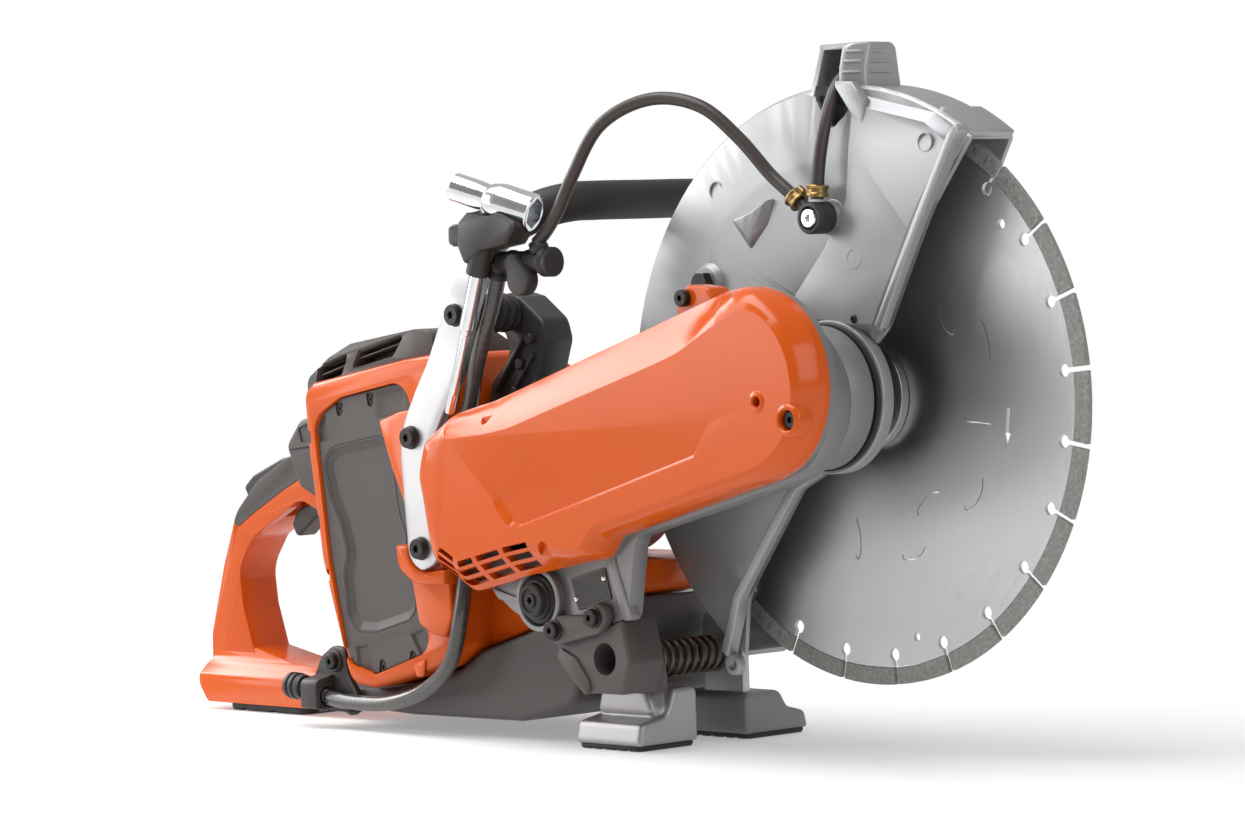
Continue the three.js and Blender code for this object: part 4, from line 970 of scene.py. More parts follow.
def bay_panel():
    panel = baked(softened(slab("panel_plate", PANEL, -73, -69.3), 1.3))
    bottle = rounded([(-434, -40, 9), (-424, -30, 7), (-374, -22, 9), (-364, -30, 8), (-357, -72, 10),
        (-350.5, -88, 8), (-353.5, -100, 8), (-346, -112, 10), (-343.5, -136, 8), (-351, -143, 7), (-385,
        -152, 8), (-404, -152, 9), (-414, -142, 8), (-417, -114, 9), (-412.5, -100, 8), (-418, -82, 8),
        (-428, -64, 9)], 9)
    cut(panel, stack("dish", bottle, ((-74, -1.4), (-72.4, -1.8), (-70.3, -7))))
    groove = slab("groove", bottle, -74, -72.5)
    island = slab("island", grown(bottle, -0.7), -75, -70)
    cut(groove, island)
    cut(panel, groove)
    for points in ([(-437, -10), (-441, -29), (-427, -27), (-430, -7)], [(-377, 6), (-380, -13), (-346,
            -13), (-348, 10)], [(-408, -161), (-394, -159), (-388, -184), (-405, -181)], [(-352, -151),
            (-339, -147), (-326, -160), (-338, -171)]):
        mid = [sum(p[0] for p in points) / 4, sum(p[1] for p in points) / 4]
        small = [((p[0] - mid[0]) * 0.72 + mid[0], (p[1] - mid[1]) * 0.8 + mid[1]) for p in points]
        cut(panel, loft("pocket", [[(u, -73.4, v) for u, v in points], [(u, -71.2, v) for u, v in small]]))
    holes = ((-415, -5), (-383, 1), (-380, -174), (-349, -167))
    for u, v in holes:
        drop = 1 if v > -90 else -1
        well = rounded([(u - 4.2, v + drop * 4, 1), (u + 4.2, v + drop * 4.8, 1), (u + 2.6, v - drop * 5,
            2), (u - 2.6, v - drop * 5, 2)])
        cut(panel, slab("well", well, -76, -71.4))
    softened(panel, 0.5, 2, 30)
    done(panel, DARK, "bay_panel", sharp=26)
    for u, v in holes:
        torx_screw("panel_screw", (u, -71.4, v), 2.9, 1.1, recess=0.55)


def vent_cap():
    cap = slab("vent_cap", [(-464, -6, 4), (-463, 14, 8), (-440, 28, 14), (-417, 37, 20), (-350, 46, 20),
        (-334, 44, 6), (-333, 28.8), (-349, 27.2), (-441, 12.8), (-451, 6)], -60, 40)
    cut(cap, shoulder())
    baked(softened(cap, 1.6, 3, 30))
    holes = ([(-408, 31.5), (-362, 42.5), (-375, 28.4), (-416, 20.5)], [(-450, 21.5), (-420, 30.5), (-428,
        16.5), (-454, 10.5)])
    slats = ([(-412.5, 27.2), (-369, 37)], [(-451, 16.6), (-424.6, 23.4)])
    for hole in holes:
        cut(cap, slab("hole", [(u, v, 1.4) for u, v in hole], -66, -44))
        cut(cap, slab("rim", [(u, v, 1.6) for u, v in grown(hole, 1.2)], -66, -59))
    baked(softened(cap, 0.4, 2, 30))
    bars = []
    for (u0, v0), (u1, v1) in slats:
        bars.append(slab("slat", [(u0, v0 - 1.1), (u1, v1 - 1.1), (u1 + 1, v1 + 0.3), (u0 + 1, v0 + 0.3)],
            -58, -45))
        bars.append(slab("slat", [(u0 + 2, v0 + 4.6), (u1 + 4, v1 + 4.4), (u1 + 4, v1 + 5), (u0 + 2, v0
            + 5.4)], -54, -45))
    done(merged("vent_cap_shell", cap, *[softened(b, 0.3) for b in bars]), DARK, "vent_housing", sharp=28)


def belly():
    rear = softened(slab("belly", [(-452, -190), (-448, -203, 6), (-370, -206, 20), (-260, -205, 30), (-206,
        -190, 14), (-206, -133.5), (-298, -161.5), (-319, -174), (-386, -189.6)], -60, 60), 4, 4, 30)
    front = softened(slab("belly_front", [(-209, -134), (-209, -178), (-192, -178, 6), (-180, -150), (-178,
        -124.5)], -37, 60), 2.5)
    strips = []
    for y in (-36, -12, 12, 36):
        strip = loft("strip", [[(x, y + dy, z) for dy, z in ((-1.5, zt), (1.5, zt), (1.5, zt - 1.6), (-1.5,
            zt - 1.6))] for x, zt in ((-430, -203.2), (-370, -205.2), (-270, -204.3))])
        strips.append(softened(strip, 0.4))
    done(merged("belly_shell", rear, front, *strips), DARK, "belly_tub", sharp=30)


# ---- Rear handle ----
def rear_parts():
    cover = baked(softened(slab("rear_cover_shell", [(-515, -32, 8), (-500, -15, 8), (-466, -6, 4), (-452,
        -3), (-450.5, -30), (-444, -84), (-502, -60, 8)], -40, 40), 4, 4, 30))
    seam = slab("seam", [(-520, -35.5), (-440, -27), (-440, -28.2), (-520, -36.9)], -50, 50)
    inner = slab("inner", [(-513.6, -32, 7), (-499, -16.6, 7), (-460, -8, 4), (-450, -30), (-446, -80),
        (-500, -62, 8)], -38.8, 38.8)
    cut(seam, inner)
    cut(cover, seam)
    step = slab("step", [(-500, -20, 2), (-462, -10, 2), (-458, -22, 2), (-497, -30, 2)], -50, -39)
    cut(cover, step)
    well = loft("well", [[(-478 + x * 8.4, y * 8.4, z) for x, y in circle(0, 0, 1, 40)] for z in (-14, 4)])
    cut(cover, well)
    softened(cover, 0.5, 2, 30)
    done(cover, DARK, "rear_cover", sharp=28)
    button = loft("power_push", [[(-478 + x * r, y * r, z) for x, y in circle(0, 0, 1, 48)] for z, r
        in ((-14, 7), (-7.2, 7), (-6.3, 6.4), (-6.3, 5.2), (-6.9, 4.8), (-6.9, 0.1))])
    done(button, BLACK, "power_button", body="button", sharp=30)

    arch = slab("arch", rounded([(-519, -33), (-546, -43, 20), (-577, -58, 30), (-602, -80, 30), (-618,
        -118, 40), (-634, -166, 20), (-635, -200, 12), (-624, -212, 8), (-516, -212, 6), (-500, -205),
        (-454, -205), (-453.3, -189), (-423, -189), (-438, -105), (-445, -85), (-503, -61), (-516, -34)],
        5), -16, 16)
    window = slab("window", rounded([(-601, -119, 24), (-584, -97, 14), (-531, -70, 14), (-500, -82, 4),
        (-458, -88, 8), (-450, -110), (-437, -178, 6), (-545, -186, 14), (-586, -180, 14), (-598, -145,
        20)], 5), -20, 20)
    cut(arch, window)
    baked(softened(arch, 7.5, 6, 30))
    base = slab("base", [(-624, -170, 2), (-634, -186, 4), (-634, -200, 10), (-624, -211.8, 6), (-516,
        -211.8, 6), (-500, -205.5), (-454, -205), (-453.6, -189), (-545, -183), (-598, -172, 8)], -40, 40)
    section = cross_slab("section", [(-12, -160), (-17, -182, 6), (-28.6, -193, 4), (-30, -213), (30, -213),
        (28.6, -193, 4), (17, -182, 6), (12, -160)], -640, -450)
    common(base, section)
    softened(base, 2.6, 4, 24)
    slot_room = slab("slot_room", [(-556, -69.5), (-556, -100), (-505, -100), (-505, -50)], -8.5, 8.5)
    above = [(-495, -41), (-516, -50), (-549, -64), (-586, -82), (-600, -90), (-606, -86), (-640, -66),
        (-640, -10), (-495, -10)]
    grip = copied(arch, "rear_grip_rubber")
    common(grip, slab("above", above, -30, 30))
    cut(arch, slab("above", grown(above, 0.35), -30, 30))
    cut(arch, slot_room)
    front_trim = slab("front_trim", [(-517.5, -30), (-516.5, -50), (-516.5, -56), (-490, -56), (-490, -20)],
        -30, 30)
    cut(grip, front_trim)
    lever_room = slab("lever_room", [(-609, -62), (-609, -81), (-548, -55), (-540, -46), (-540, -20), (-590,
        -20)], -9, 9)
    cut(grip, lever_room)
    for piece in (arch, grip):
        baked(softened(piece, 0.5, 2, 40))
    done(merged("rear_handle_orange", arch, base), ORANGE, "rear_handle", sharp=32)
    done(grip, DARK, "rear_grip", sharp=32)

    lever = slab("lockout_lever", [(-545, -40.5, 2), (-547, -47), (-598, -70), (-602, -63, 3), (-592, -55,
        4), (-560, -43, 6)], -8.4, 8.4)
    done(lever, BLACK, "trigger_lockout", body="lockout", edge=2.2, segments=4)
    trigger = slab("trigger_lever", [(-510, -66), (-509, -74, 3), (-526, -84, 8), (-546, -98, 4), (-551,
        -88, 3), (-545, -78)], -8, 8)
    done(trigger, BLACK, "throttle_trigger", body="trigger", edge=2.4, segments=4)

    plan = rounded([(-606, -27, 9), (-520, -27, 9), (-520, 27, 9), (-606, 27, 9)])
    foot = pad("rear_foot_pad", plan, ((-212.2, 0), (-214.4, 0), (-216.4, -0.6), (-217, -1.6)))
    for x0, x1 in ((-590, -584), (-558, -552)):
        cut(foot, cross_slab("tread", [(-30, -218), (30, -218), (30, -215.4), (-30, -215.4)], x0, x1))
    done(foot, RUBBER, "rear_foot", edge=0.4)


# ---- Front handle ----
def handle_line(side):
    """The middle of the leg and tube from the lower end of a leg to the centre of the grip."""
    base = -83.5 if side < 0 else 100.5
    knots = [(-319, 0, -107.5), (-319, 0, -93), (-321.5, 0, -60), (-322, 0, -26), (-311, 0, -5), (-293.5, 0,
        20), (-280, 0, 48), (-266.5, 0, 74), (-252.5, 1, 93), (-236, 4.5, 108), (-217, 16, 119), (-206.5,
        32, 123.4), (-203, 50, 124), (-203, 92, 124)]
    tuck = {-280: 1, -266.5: 3, -252.5: 6.5, -236: 9, -217: 18.5} if side > 0 else {}
    return [(x, base - side * tuck.get(x, dy), z) for x, dy, z in knots]


def handle_half(side):
    line = smooth_line(handle_line(side), 2.5)
    rings = []
    gone = 0.0
    last = line[0]
    for here, across, lift in frames_along(line, (0, 1, 0)):
        gone += (here - last).length
        last = here
        wide = ramped(gone, [(110, 15), (140, 15.6), (175, 13.5), (205, 11), (225, 10)])
        thick = ramped(gone, [(150, 4.5), (180, 5.6), (205, 8), (225, 10)])
        boxy = ramped(gone, [(160, 5.0), (225, 2.0)])
        if gone < 14.5:
            wide *= math.sqrt(max(0.02, 1 - ((14.5 - gone) / 14.5) ** 2))
        ring = []
        for k in range(40):
            a = 2 * math.pi * k / 40
            c, s = math.cos(a), math.sin(a)
            ring.append(here + across * (wide * math.copysign(abs(c) ** (2 / boxy), c))
                + lift * (thick * math.copysign(abs(s) ** (2 / boxy), s)))
        rings.append(ring)
    return loft("half", rings)


def front_handle():
    right, left = handle_half(-1), handle_half(1)
    seats = [turned("seat", [(AXIS, 102.2), (8, 102.2), (8, 110), (AXIS, 110)], p, 40) for p in LEG_SCREWS]
    cut(left, merged("seats", *seats))
    done(merged("front_handle_bar", right, left), ALLOY, "front_handle", sharp=50)

    right_line = smooth_line(handle_line(-1), 2.5)
    left_line = smooth_line(handle_line(1), 2.5)
    whole = right_line + left_line[::-1][1:]
    first = next(i for i, p in enumerate(whole) if p.z > 106)
    stop = len(whole) - next(i for i, p in enumerate(reversed(whole)) if p.z > 106)
    sleeve_line = whole[first:stop]
    edge = 6 / len(sleeve_line)
    def radius(t):
        t = min(t, 1 - t)
        return 12.4 - 1.6 * max(0, 1 - t / (edge * 0.35)) ** 2
    sleeve = tube("front_grip_rubber", sleeve_line, radius, 40)
    done(sleeve, RUBBER, "front_grip_sleeve", sharp=45)

    for node_name, (u, v) in zip(("leg_screw_upper", "leg_screw_middle", "leg_screw_lower"), LEG_SCREWS):
        screw = torx_screw(node_name + "_head", (u, -88.0, v), 6.7, 5.0, collar=7.6)
        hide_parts(node_name)
        back = torx_screw(node_name + "_left", (u, 102.2, v), 6.7, 2.6, collar=7.6, sign=1)

    bellows = [(AXIS, -78.6), (10.4, -78.6), (11.8, -77.6)]
    for k in range(4):
        y = -75.4 + 7.2 * k
        bellows += [(12.5, y), (12.5, y + 1.4), (11.6, y + 2.6), (10.0, y + 3.4), (10.0, y + 4.6), (11.8, y
            + 6.0)]
    bellows = [p for p in bellows if p[1] < -47.5] + [(11.4, -46.6), (AXIS, -46.6)]
    done(turned("damper_bellows", bellows, (-272, 55), 64), RUBBER, "upper_damper", sharp=50)

    bracket = softened(slab("bracket", [(-287, 60, 8), (-277, 68, 8), (-264, 65, 8), (-243, 50, 12), (-239,
        37, 10), (-249, 10, 12), (-252, -6), (-298, -6), (-294, 10, 8), (-275, 27, 10), (-279, 42, 6),
        (-287, 45, 5)], -46, -22), 2.2)
    ribs = []
    for (u0, v0), (u1, v1) in (((-288, 4), (-258, 40)), ((-276, -2), (-250, 28)), ((-262, -4), (-246, 14))):
        way = Vector((u1 - u0, v1 - v0)).normalized()
        off = Vector((-way.y, way.x)) * 1.2
        ribs.append(softened(slab("rib", [(u0 + off.x, v0 + off.y), (u1 + off.x, v1 + off.y), (u1 - off.x,
            v1 - off.y), (u0 - off.x, v0 - off.y)], -49, -40), 0.5))
    for u, v in ((-252, 38), (-262, 22), (-268, 4)):
        ribs.append(turned("pin", [(AXIS, -44), (3.4, -44), (3.4, -50), (2.8, -50.8), (AXIS, -50.8)], (u,
            v), 32))
    done(merged("damper_carrier", bracket, *ribs), BLACK, "damper_bracket", sharp=32)


# ---- Valve, coupling and wrench ----
def valve():
    barrel = strut("barrel", (-232, -88, 87), (-193, -86, 86.5), [(0, 6.2), (0.8, 7), (9, 7), (9.4, 7.8),
        (12, 7.8), (12.4, 7), (24, 7), (24.4, 7.8), (27, 7.8), (27.4, 7), (39.1, 7)])
    cap = strut("cap", (-194, -86.1, 86.5), (-185, -85.6, 86.4), [(0, 7), (0.8, 9.3), (3.6, 9.3), (4.0,
        8.6), (5, 8.6), (5.4, 9.3), (8.2, 9.3), (9, 8.4)])
    disc = softened(slab("disc", wrap(-208, 76, 10, -213, 87, 6), -97, -87), 1.6)
    tail = strut("tail", (-235.5, -88, 76), (-233.5, -88, 86), [(0, 5.4), (1, 6.4), (4, 6.4), (4.4, 5.8),
        (7, 5.8), (7.4, 6.4), (11, 6.4)], 32)
    lift = strut("lift", (-196, -87, 92), (-199, -87, 98.8), [(0, 5.4), (1.4, 5.4), (1.8, 6.2), (4.6, 6.2),
        (5, 5.6), (7.4, 5.6)], 32)
    whole = merged("valve_body", barrel, cap, disc, tail, lift)
    done(whole, BLACK, "water_valve", sharp=35)
    knob = strut("valve_dial", (-289, -72, 105), (-274.3, -72, 105), [(0, 5.4), (1, 6.5), (4.5, 6.5), (5,
        5.9), (9, 5.9), (9.4, 6.5), (13.6, 6.5), (14.7, 5.6)], 48)
    fins = []
    for k in range(6):
        a = math.radians(60 * k)
        y, z = -72 + 5.8 * math.cos(a), 105 + 5.8 * math.sin(a)
        fins.append(strut("fin", (-287.6, y, z), (-276, y, z), [(0, 0.7), (0.5, 1.1), (11, 1.1), (11.6,
            0.7)], 10))
    done(merged("valve_dial_ribbed", knob, *fins), BLUE, "valve_knob", body="knob", sharp=35)


def coupling():
    start, end = Vector((-477, -72, -190)), Vector((-462, -72, -191))
    body = strut("coupling", start, end, [(0, 7.2), (0.7, 8.8), (3.6, 9), (4.2, 7.6), (5.2, 7.6), (5.8, 9),
        (8.6, 9), (9.2, 7.6), (10.2, 7.6), (10.8, 8.6), (15, 8.0)])
    mouth = strut("mouth", (-479, -72, -189.9), (-470, -72, -190.4), [(0, 4.6), (0.01, 4.6), (10, 4.6)], 32)
    cut(body, mouth)
    neck = strut("neck", (-463, -72, -191), (-437, -72, -196.5), [(0, 5.2), (5, 5.2), (5.4, 4.2), (8, 4.2),
        (8.4, 5.2), (10.4, 5.2), (10.8, 4.2), (13.4, 4.2), (13.8, 5.4), (26.5, 5.4)], 40)
    done(body, BLACK, "hose_coupling", sharp=35)
    done(neck, CHROME, sharp=35)

    plate = softened(slab("plate", [(-461, -206, 5), (-462, -186, 5), (-452, -170, 8), (-440, -163, 6),
        (-428, -164, 5), (-425, -182, 4), (-414, -198, 5), (-416, -207, 5)], -66, -60.6), 1.2)
    clip = cross_slab("clip", [(-81.5, -204, 2), (-81.5, -185, 5), (-66, -182, 3), (-62, -182), (-62,
        -204)], -456, -440)
    cut(clip, strut("run", (-470, -72, -190.2), (-430, -72, -198), [(0, 6.2), (45, 6.2)], 32))
    softened(clip, 0.7)
    screws = ((-437, -173), (-452, -200), (-421, -201))
    bosses = [turned("boss", [(AXIS, -64), (7.2, -64), (7.2, -67.4), (6.6, -68.2), (AXIS, -68.2)], p, 40)
        for p in screws]
    done(merged("coupling_plate", plate, clip, *bosses), BLACK, "coupling_bracket", sharp=32)
    for u, v in screws:
        torx_screw("coupling_screw", (u, -68.2, v), 5.2, 3.6)


def wrench():
    along = Vector((45, 0, 125)).normalized()
    turn = math.radians(20)
    bar = Vector((along.z, 0, -along.x)) * math.cos(turn) + Vector((0, math.sin(turn), 0))
    tip = Vector((-274, -99, -7))
    def at(distance):
        return tip + along * distance
    head = at(132.85 + 9)
    def out(distance):
        return head + bar * distance
    shaft = strut("shaft", at(52), at(140), [(0, 2.9), (0.6, 3.4), (4, 3.6), (4.6, 4.75), (60, 4.75), (88,
        4.75)], 40)
    tip_steps, star_rings = 36, []
    side = along.cross(Vector((0, 1, 0))).normalized()
    lift = Vector((0, 1, 0))
    for distance, grow in ((0, 0.75), (1.2, 0.92), (12, 0.92), (13.5, 1.0), (55, 1.0)):
        ring = []
        for k in range(tip_steps):
            a = 2 * math.pi * k / tip_steps
            ripple = 0.32 * math.cos(6 * a) if distance < 13 else 0.0
            r = (3.05 + ripple) * grow
            ring.append(at(distance) + side * (r * math.cos(a)) + lift * (r * math.sin(a)))
        star_rings.append(ring)
    blade_tip = loft("tip", star_rings)
    big = strut("big", out(-3), out(31), [(0, 8.6), (3, 10.2), (8, 11.6), (10, 12), (33, 12), (34, 11.2)], 48)
    cut(big, strut("hex", out(18), out(34), [(0, 9.8), (16, 9.8)], 6))
    small = strut("small", out(-28), out(1), [(0, 8.2), (0.9, 9), (18, 9), (21, 8.8), (26, 8.2), (29, 8.2)],
        48)
    cut(small, strut("hex", out(-31), out(-18), [(0, 6.7), (13, 6.7)], 6))
    root = strut("root", at(126), at(138), [(0, 4.7), (4, 5.2), (8, 6.4), (12, 8)], 40)
    done(merged("wrench_bright", shaft, blade_tip, big, small, root), CHROME, "combination_wrench",
        body="wrench", edge=0.3, sharp=32)

    saddle = baked(softened(slab("saddle", [(-252, 98), (-252, 112, 5), (-240, 121, 6), (-216, 121, 6),
        (-196, 110, 4), (-207, 98, 4), (-230, 95, 4), (-246, 86, 3)], -107, -88.3), 1.8))
    for rise in (0, 4, 8, 12):
        base = head + along * rise
        cut(saddle, strut("nest", base + bar * -30, base + bar * 36, [(0, 12.9), (66, 12.9)], 48))
    arm_piece = slab("arm", [(-274, 99, 3), (-250, 99), (-250, 111), (-274, 111, 3)], -95, -88.3)
    ear = cross_slab("ear", [(-92, 98), (-64, 98, 5), (-64, 112, 5), (-92, 112)], -274, -267)
    grip = strut("collar", at(92), at(112), [(0, 6.6), (0.6, 7.4), (19, 7.4), (20, 6.6)], 40)
    cut(grip, strut("run", at(85), at(120), [(0, 5.2), (35, 5.2)], 32))
    link = slab("link", ((-252, 84), (-236, 84), (-232, 98), (-250, 98)), -98, -88)
    done(merged("tool_holder", saddle, softened(arm_piece, 1), softened(ear, 1), grip, softened(link, 1.4)),
        BLACK, "wrench_holder", sharp=32)


# ---- Feet ----
def feet():
    ears = softened(slab("ears", [(-193, -141, 5), (-188, -151, 6), (-146, -142, 5), (-139, -133, 6), (-142,
        -122.6, 6), (-154, -124.5, 4), (-158, -131, 4), (-184, -132, 3)], -95.5, -87.6), 1.6)
    post = baked(softened(slab("post", [(-194, -146.5), (-183, -147.4), (-150, -139.3), (-131, -133), (-124,
        -160, 6), (-132, -179.7), (-168, -179.7), (-190, -154, 6)], -90, -60), 3, 4))
    cut(post, turned("pocket", [(AXIS, -96), (10.6, -96), (10, -91), (9.4, -66), (AXIS, -64)], (-147, -158),
        48))
    neck = softened(slab("neck", [(-176, -166, 4), (-140, -162, 4), (-138, -182), (-178, -182)], -62, -44), 3)
    edge = softened(slab("edge", [(-186, -152, 3), (-172, -158, 6), (-158, -176, 6), (-164, -181), (-178,
        -170, 6), (-190, -158, 4)], -92.2, -80), 1.4)
    done(merged("foot_carrier", ears, post, neck, edge), DARK, "foot_bracket", slot="dark_steel", sharp=30)
    for u, v in ((-186, -141), (-149.5, -132)):
        torx_screw("foot_bracket_bolt", (u, -95.3, v), 5.6, 5.0, collar=6.8)

    coil = []
    for k in range(11 * 40 + 1):
        t = k / 40
        y = -59 + 74 * t / 11
        coil.append((-158 + 10 * math.cos(2 * math.pi * t), y, -163 + 10 * math.sin(2 * math.pi * t)))
    done(tube("coil_spring", coil, 1.8, 12, up=(0, 1, 0)), BRONZE, "foot_spring", sharp=60)

    right_top = softened(cross_slab("block", [(-20, -180, 4), (-40, -180, 6), (-46, -196, 6), (-68, -200,
        4), (-71, -214.3, 2), (-20, -214.3, 2)], -198, -139), 2)
    brow = softened(slab("brow", [(-194, -196, 3), (-188, -178, 6), (-150, -177, 6), (-141, -196, 3)], -56,
        -22), 3)
    whole = merged("foot_right_raw", right_top, brow)
    remeshed(whole, 1.2, 12)
    done(whole, FOOT_ALLOY, "foot_right", sharp=50)

    shoe = cross_slab("shoe", [(16, -188, 4), (46, -188, 6), (53, -199, 6), (68, -203, 4), (71, -214.3, 2),
        (16, -214.3, 2)], -192, -133)
    upright = slab("upright", [(-176, -140, 6), (-150, -132, 6), (-140, -150), (-140, -192), (-176, -192)],
        21, 27)
    web = cross_slab("web", ((26, -160), (26, -190), (48, -190)), -166, -160)
    done(softened(upright, 1), ALLOY, sharp=30)
    left = merged("foot_left_raw", softened(shoe, 2), web)
    remeshed(left, 1.2, 8)
    # The left foot is satin aluminium drawn in the darker cast alloy: painted shade for its shadowed place.
    done(left, SHADED_CAST, "foot_left", slot="satin_aluminium", sharp=50)
    torx_screw("foot_left_bolt", (-160, 26.6, -150), 5.4, 3.2, sign=1)

    for name, node, rear, near, far in (("sole_right", "foot_sole_right", -196.5, -69, -22), ("sole_left",
            "foot_sole_left", -190.5, 18, 69)):
        plan = rounded([(rear, near, 5), (rear + 56, near, 5), (rear + 56, far, 5), (rear, far, 5)])
        sole = pad(name, plan, ((-214.0, 0.6), (-215.6, 0.6), (-217, -0.4)))
        for step in (12, 22, 34, 44):
            cut(sole, cross_slab("tread", [(near - 5, -218), (far + 5, -218), (far + 5, -216), (near - 5,
                -216)], rear + step - 2, rear + step + 2))
        done(sole, RUBBER, node, edge=0.3)


# ---- Battery ----
def battery():
    plan = rounded([(-427.4, -157.4, 6), (-344.6, -157.4, 6), (-344.6, -23.4, 6), (-427.4, -23.4, 6)])
    pack = stack("battery_case", plan, ((-63, -2), (-60, 0), (66, 0), (71.5, -1.2), (73, -3)))
    recess = loft("recess", [[(x, y, z) for x, z in rounded([(-412 + g, -120 + g, 6), (-363 - g, -120 + g,
        6), (-363 - g, -60 - g, 6), (-412 + g, -60 - g, 6)])] for y, g in ((80, -1), (60, 2))])
    cut(pack, recess)
    for k in range(5):
        z = -134 - 4 * k
        cut(pack, slab("rib_gap", [(-405, z), (-370, z), (-370, z - 1.6), (-405, z - 1.6)], 71.6, 76))
    softened(pack, 0.6, 2, 30)
    done(pack, DARK, "battery_pack", body="battery", slot="black_plastic", sharp=30)
    for k in range(4):
        lamp = turned("charge_lamp", [(AXIS, 72), (1.3, 72), (1.3, 73.2), (1.0, 73.5), (AXIS, 73.5)], (-400
            + 8 * k, -46), 20)
        done(lamp, CHROME if k == 3 else BLACK, body="battery", slot="black_plastic", sharp=60)
    band = slab("battery_band", [(-420, -36, 2), (-352, -36, 2), (-352, -32, 2), (-420, -32, 2)], 72.4, 73.4)
    done(band, ORANGE, body="battery", edge=0.3)
    latch = slab("latch_body", [(-402, -22, 2), (-372, -22, 2), (-372, -14, 2), (-402, -14, 2)], 65, 77.3)
    for k in range(5):
        x = -397 + 5 * k
        cut(latch, slab("grip", [(x, -23), (x + 1.6, -23), (x + 1.6, -13), (x, -13)], 76.4, 79))
    done(latch, ORANGE, "battery_latch", body="latch", edge=0.8)


# ---- Inside ----
def inside():
    casing = turned("motor_can", [(AXIS, 18), (12, 18), (12.6, 16.6), (20, 16.6), (21, 18), (42, 18), (45,
        16.4), (46, 14), (46, -69), (41.4, -69), (41.4, 14.2), (AXIS, 14.2)], MOTOR, 96)
    fins = []
    for k in range(30):
        a = math.radians(12 * k)
        if 20 < 12 * k < 110:
            continue
        middle = Vector((MOTOR[0] + 46.4 * math.cos(a), MOTOR[1] + 46.4 * math.sin(a)))
        out_way = Vector((math.cos(a), math.sin(a)))
        off = Vector((-out_way.y, out_way.x)) * 0.9
        a0, a1 = middle - out_way * 1, middle + out_way * 1.2
        fins.append(slab("fin", [tuple(a0 + off), tuple(a1 + off * 0.6), tuple(a1 - off * 0.6),
            tuple(a0 - off)], -58, 8))
    done(merged("motor_can_finned", casing, *fins), SHADED_CAST, "motor_casing", edge=0.3, sharp=32)
    finishes = {"spindle_shaft": TURNED_STEEL, "driven_pulley": SHADED_CAST,
        "spindle_bearing_outer": TURNED_STEEL, "spindle_bearing_inner": TURNED_STEEL, "drive_belt": RUBBER,
        "motor_stator": COPPER, "motor_rotor": TURNED_STEEL, "drive_pulley": SHADED_CAST,
        "cooling_fan": BLACK, "control_unit": SHADED_CAST,}
    for name, material in finishes.items():
        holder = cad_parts[name].material_slots[0]
        holder.link = "OBJECT"
        holder.material = material


# ---- Build ----
blade()
belt_cover()
arm()
guard()
banjo_and_clamps()
supply = hose("supply_hose_rubber", SUPPLY_LINE, 4, "supply_hose", HOSE, None)
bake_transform(supply)
hose("spray_hose_rubber", SPRAY_LINE, 4, "spray_hose", HOSE, "guard_set")
hose("feed_hose_braided", FEED_LINE, 5, "feed_hose", BRAID, ROOT)
body_frame()
bay_panel()
vent_cap()
belly()
rear_parts()
front_handle()
valve()
coupling()
wrench()
feet()
battery()
inside()

# ---- Floor, light and camera ----
scene = bpy.context.scene
scene.view_settings.view_transform = "Standard"
scene.view_settings.look = "None"
scene.view_settings.exposure = 0
scene.view_settings.gamma = 1

FLOOR = surface("studio_floor", None, (243, 243, 243), 0.85, grain=60, bump=0.02, shift=0.004, blotch=2)
floor_mesh = bpy.data.meshes.new("floor")
reach = 14.0
floor_corners = [(-reach, -reach, 0), (reach, -reach, 0), (reach, reach, 0), (-reach, reach, 0)]
floor_mesh.from_pydata(floor_corners, [], [(0, 1, 2, 3)])
floor = bpy.data.objects.new("floor", floor_mesh)
scene.collection.objects.link(floor)
floor.location.z = -0.0002
floor_mesh.materials.append(FLOOR)
# Near the saw the floor takes its shadow, lifted by a painted glow: three tenths of it there is white
# emission; farther out it turns into plain white paper.
floor_tree, floor_link = FLOOR.node_tree, FLOOR.node_tree.links.new
paper_and_painted_glow = node(floor_tree, "Emission", {"Color": (1, 1, 1, 1), "Strength": 1.0})
spot = node(floor_tree, "TexCoord")
apart = node(floor_tree, "VectorMath", operation="LENGTH")
fade = node(floor_tree, "MapRange", {"From Min": 0.35, "From Max": 1.1, "To Min": 0.3},
    interpolation_type="SMOOTHSTEP")
blend = node(floor_tree, "MixShader")
floor_link(spot.outputs["Object"], apart.inputs[0])
floor_link(apart.outputs["Value"], fade.inputs["Value"])
floor_link(fade.outputs["Result"], blend.inputs["Fac"])
floor_link(floor_tree.nodes["Principled BSDF"].outputs["BSDF"], blend.inputs[1])
floor_link(paper_and_painted_glow.outputs["Emission"], blend.inputs[2])
floor_link(blend.outputs["Shader"], floor_tree.nodes["Material Output"].inputs["Surface"])

world = bpy.data.worlds.new("studio")
scene.world = world
world.use_nodes = True
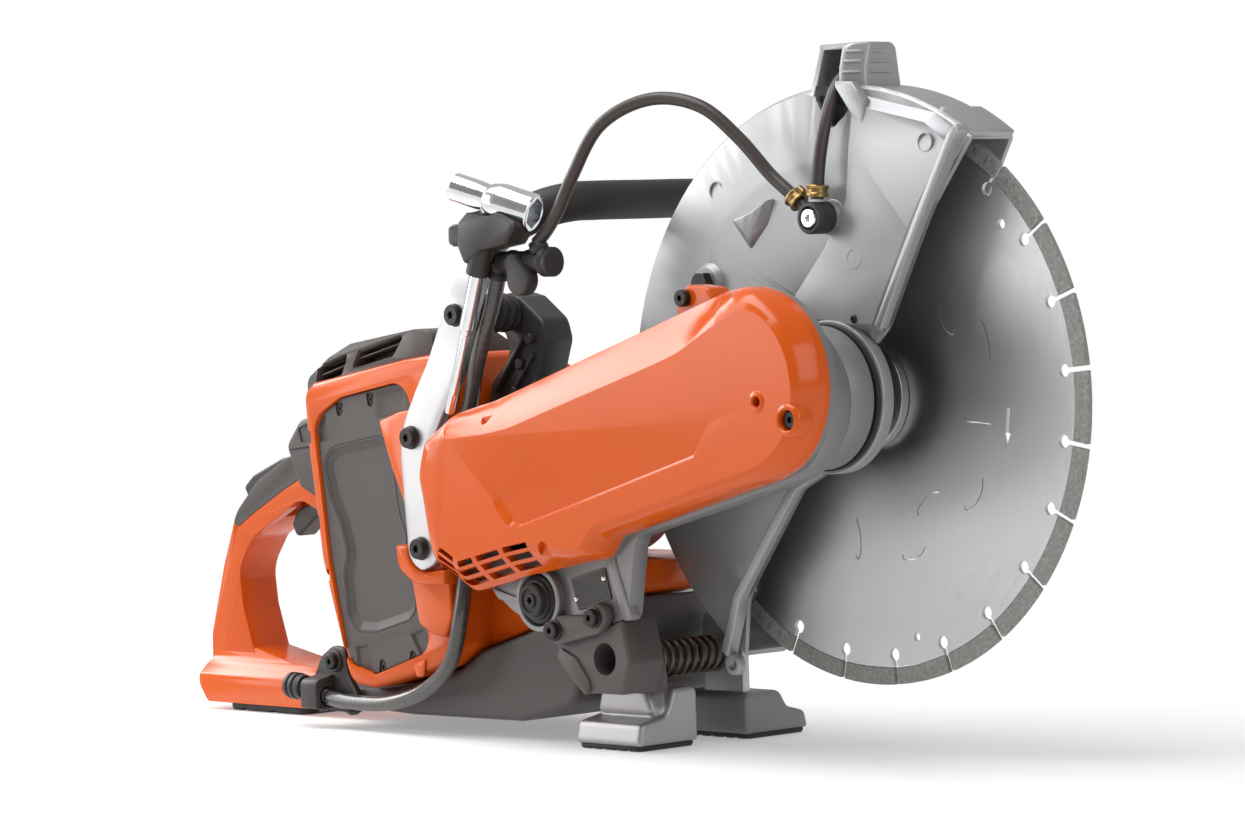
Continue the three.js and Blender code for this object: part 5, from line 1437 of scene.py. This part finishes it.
# A white backdrop whose light falls off towards the blade's side.
sky, sky_link = world.node_tree, world.node_tree.links.new
heading = node(sky, "TexCoord")
facing = node(sky, "VectorMath", {1: (0.732, -0.679, 0.06)}, operation="DOT_PRODUCT")
falloff = node(sky, "MapRange", {"From Min": -0.2, "From Max": 0.9, "To Min": 0.56, "To Max": 0.25},
    interpolation_type="SMOOTHSTEP")
seen = node(sky, "LightPath")
white = node(sky, "Mix", {"B": 1.0})
backdrop = sky.nodes["Background"]
sky_link(heading.outputs["Generated"], facing.inputs[0])
sky_link(facing.outputs["Value"], falloff.inputs["Value"])
sky_link(seen.outputs["Is Camera Ray"], white.inputs["Factor"])
sky_link(falloff.outputs["Result"], white.inputs["A"])
sky_link(white.outputs["Result"], backdrop.inputs["Strength"])
backdrop.inputs["Color"].default_value = (1, 1, 1, 1)


def softbox(name, at, aim, wide, high, watts):
    """A rectangular lamp at a point, facing another."""
    light = bpy.data.lights.new(name, "AREA")
    light.shape = "RECTANGLE"
    light.size = wide
    light.size_y = high
    light.energy = watts
    holder = bpy.data.objects.new(name, light)
    scene.collection.objects.link(holder)
    holder.location = at
    holder.rotation_euler = (Vector(aim) - Vector(at)).to_track_quat("-Z", "Y").to_euler()


softbox("key_above", (-0.3, -0.6, 1.9), (0, 0, 0.2), 1.8, 1.2, 32)
softbox("left_side", (-1.9, -1.7, 0.9), (-0.1, 0, 0.2), 1.2, 1.6, 18)
softbox("rear_left", (-2.0, -0.35, 1.15), (0, 0, 0.2), 1.3, 1.1, 26)
softbox("right_side", (2.0, -0.3, 1.0), (0.1, 0, 0.2), 0.9, 1.3, 8)

azimuth, elevation, roll = math.radians(47.18), math.radians(1.99), math.radians(-2)
back = Vector((math.sin(azimuth) * math.cos(elevation), -math.cos(azimuth) * math.cos(elevation),
    math.sin(elevation)))
right = Vector((math.cos(azimuth), math.sin(azimuth), 0))
up = back.cross(right)
x_axis = math.cos(roll) * right + math.sin(roll) * up
y_axis = -math.sin(roll) * right + math.cos(roll) * up
lens = bpy.data.cameras.new("camera")
lens.lens = 133.0
lens.sensor_width = 36
lens.clip_start = 0.05
lens.clip_end = 60
eye = bpy.data.objects.new("camera", lens)
scene.collection.objects.link(eye)
turn = Matrix((x_axis, y_axis, back)).transposed()
eye.matrix_world = Matrix.Translation((2.156, -1.98305, 0.306)) @ turn.to_4x4()
scene.camera = eye
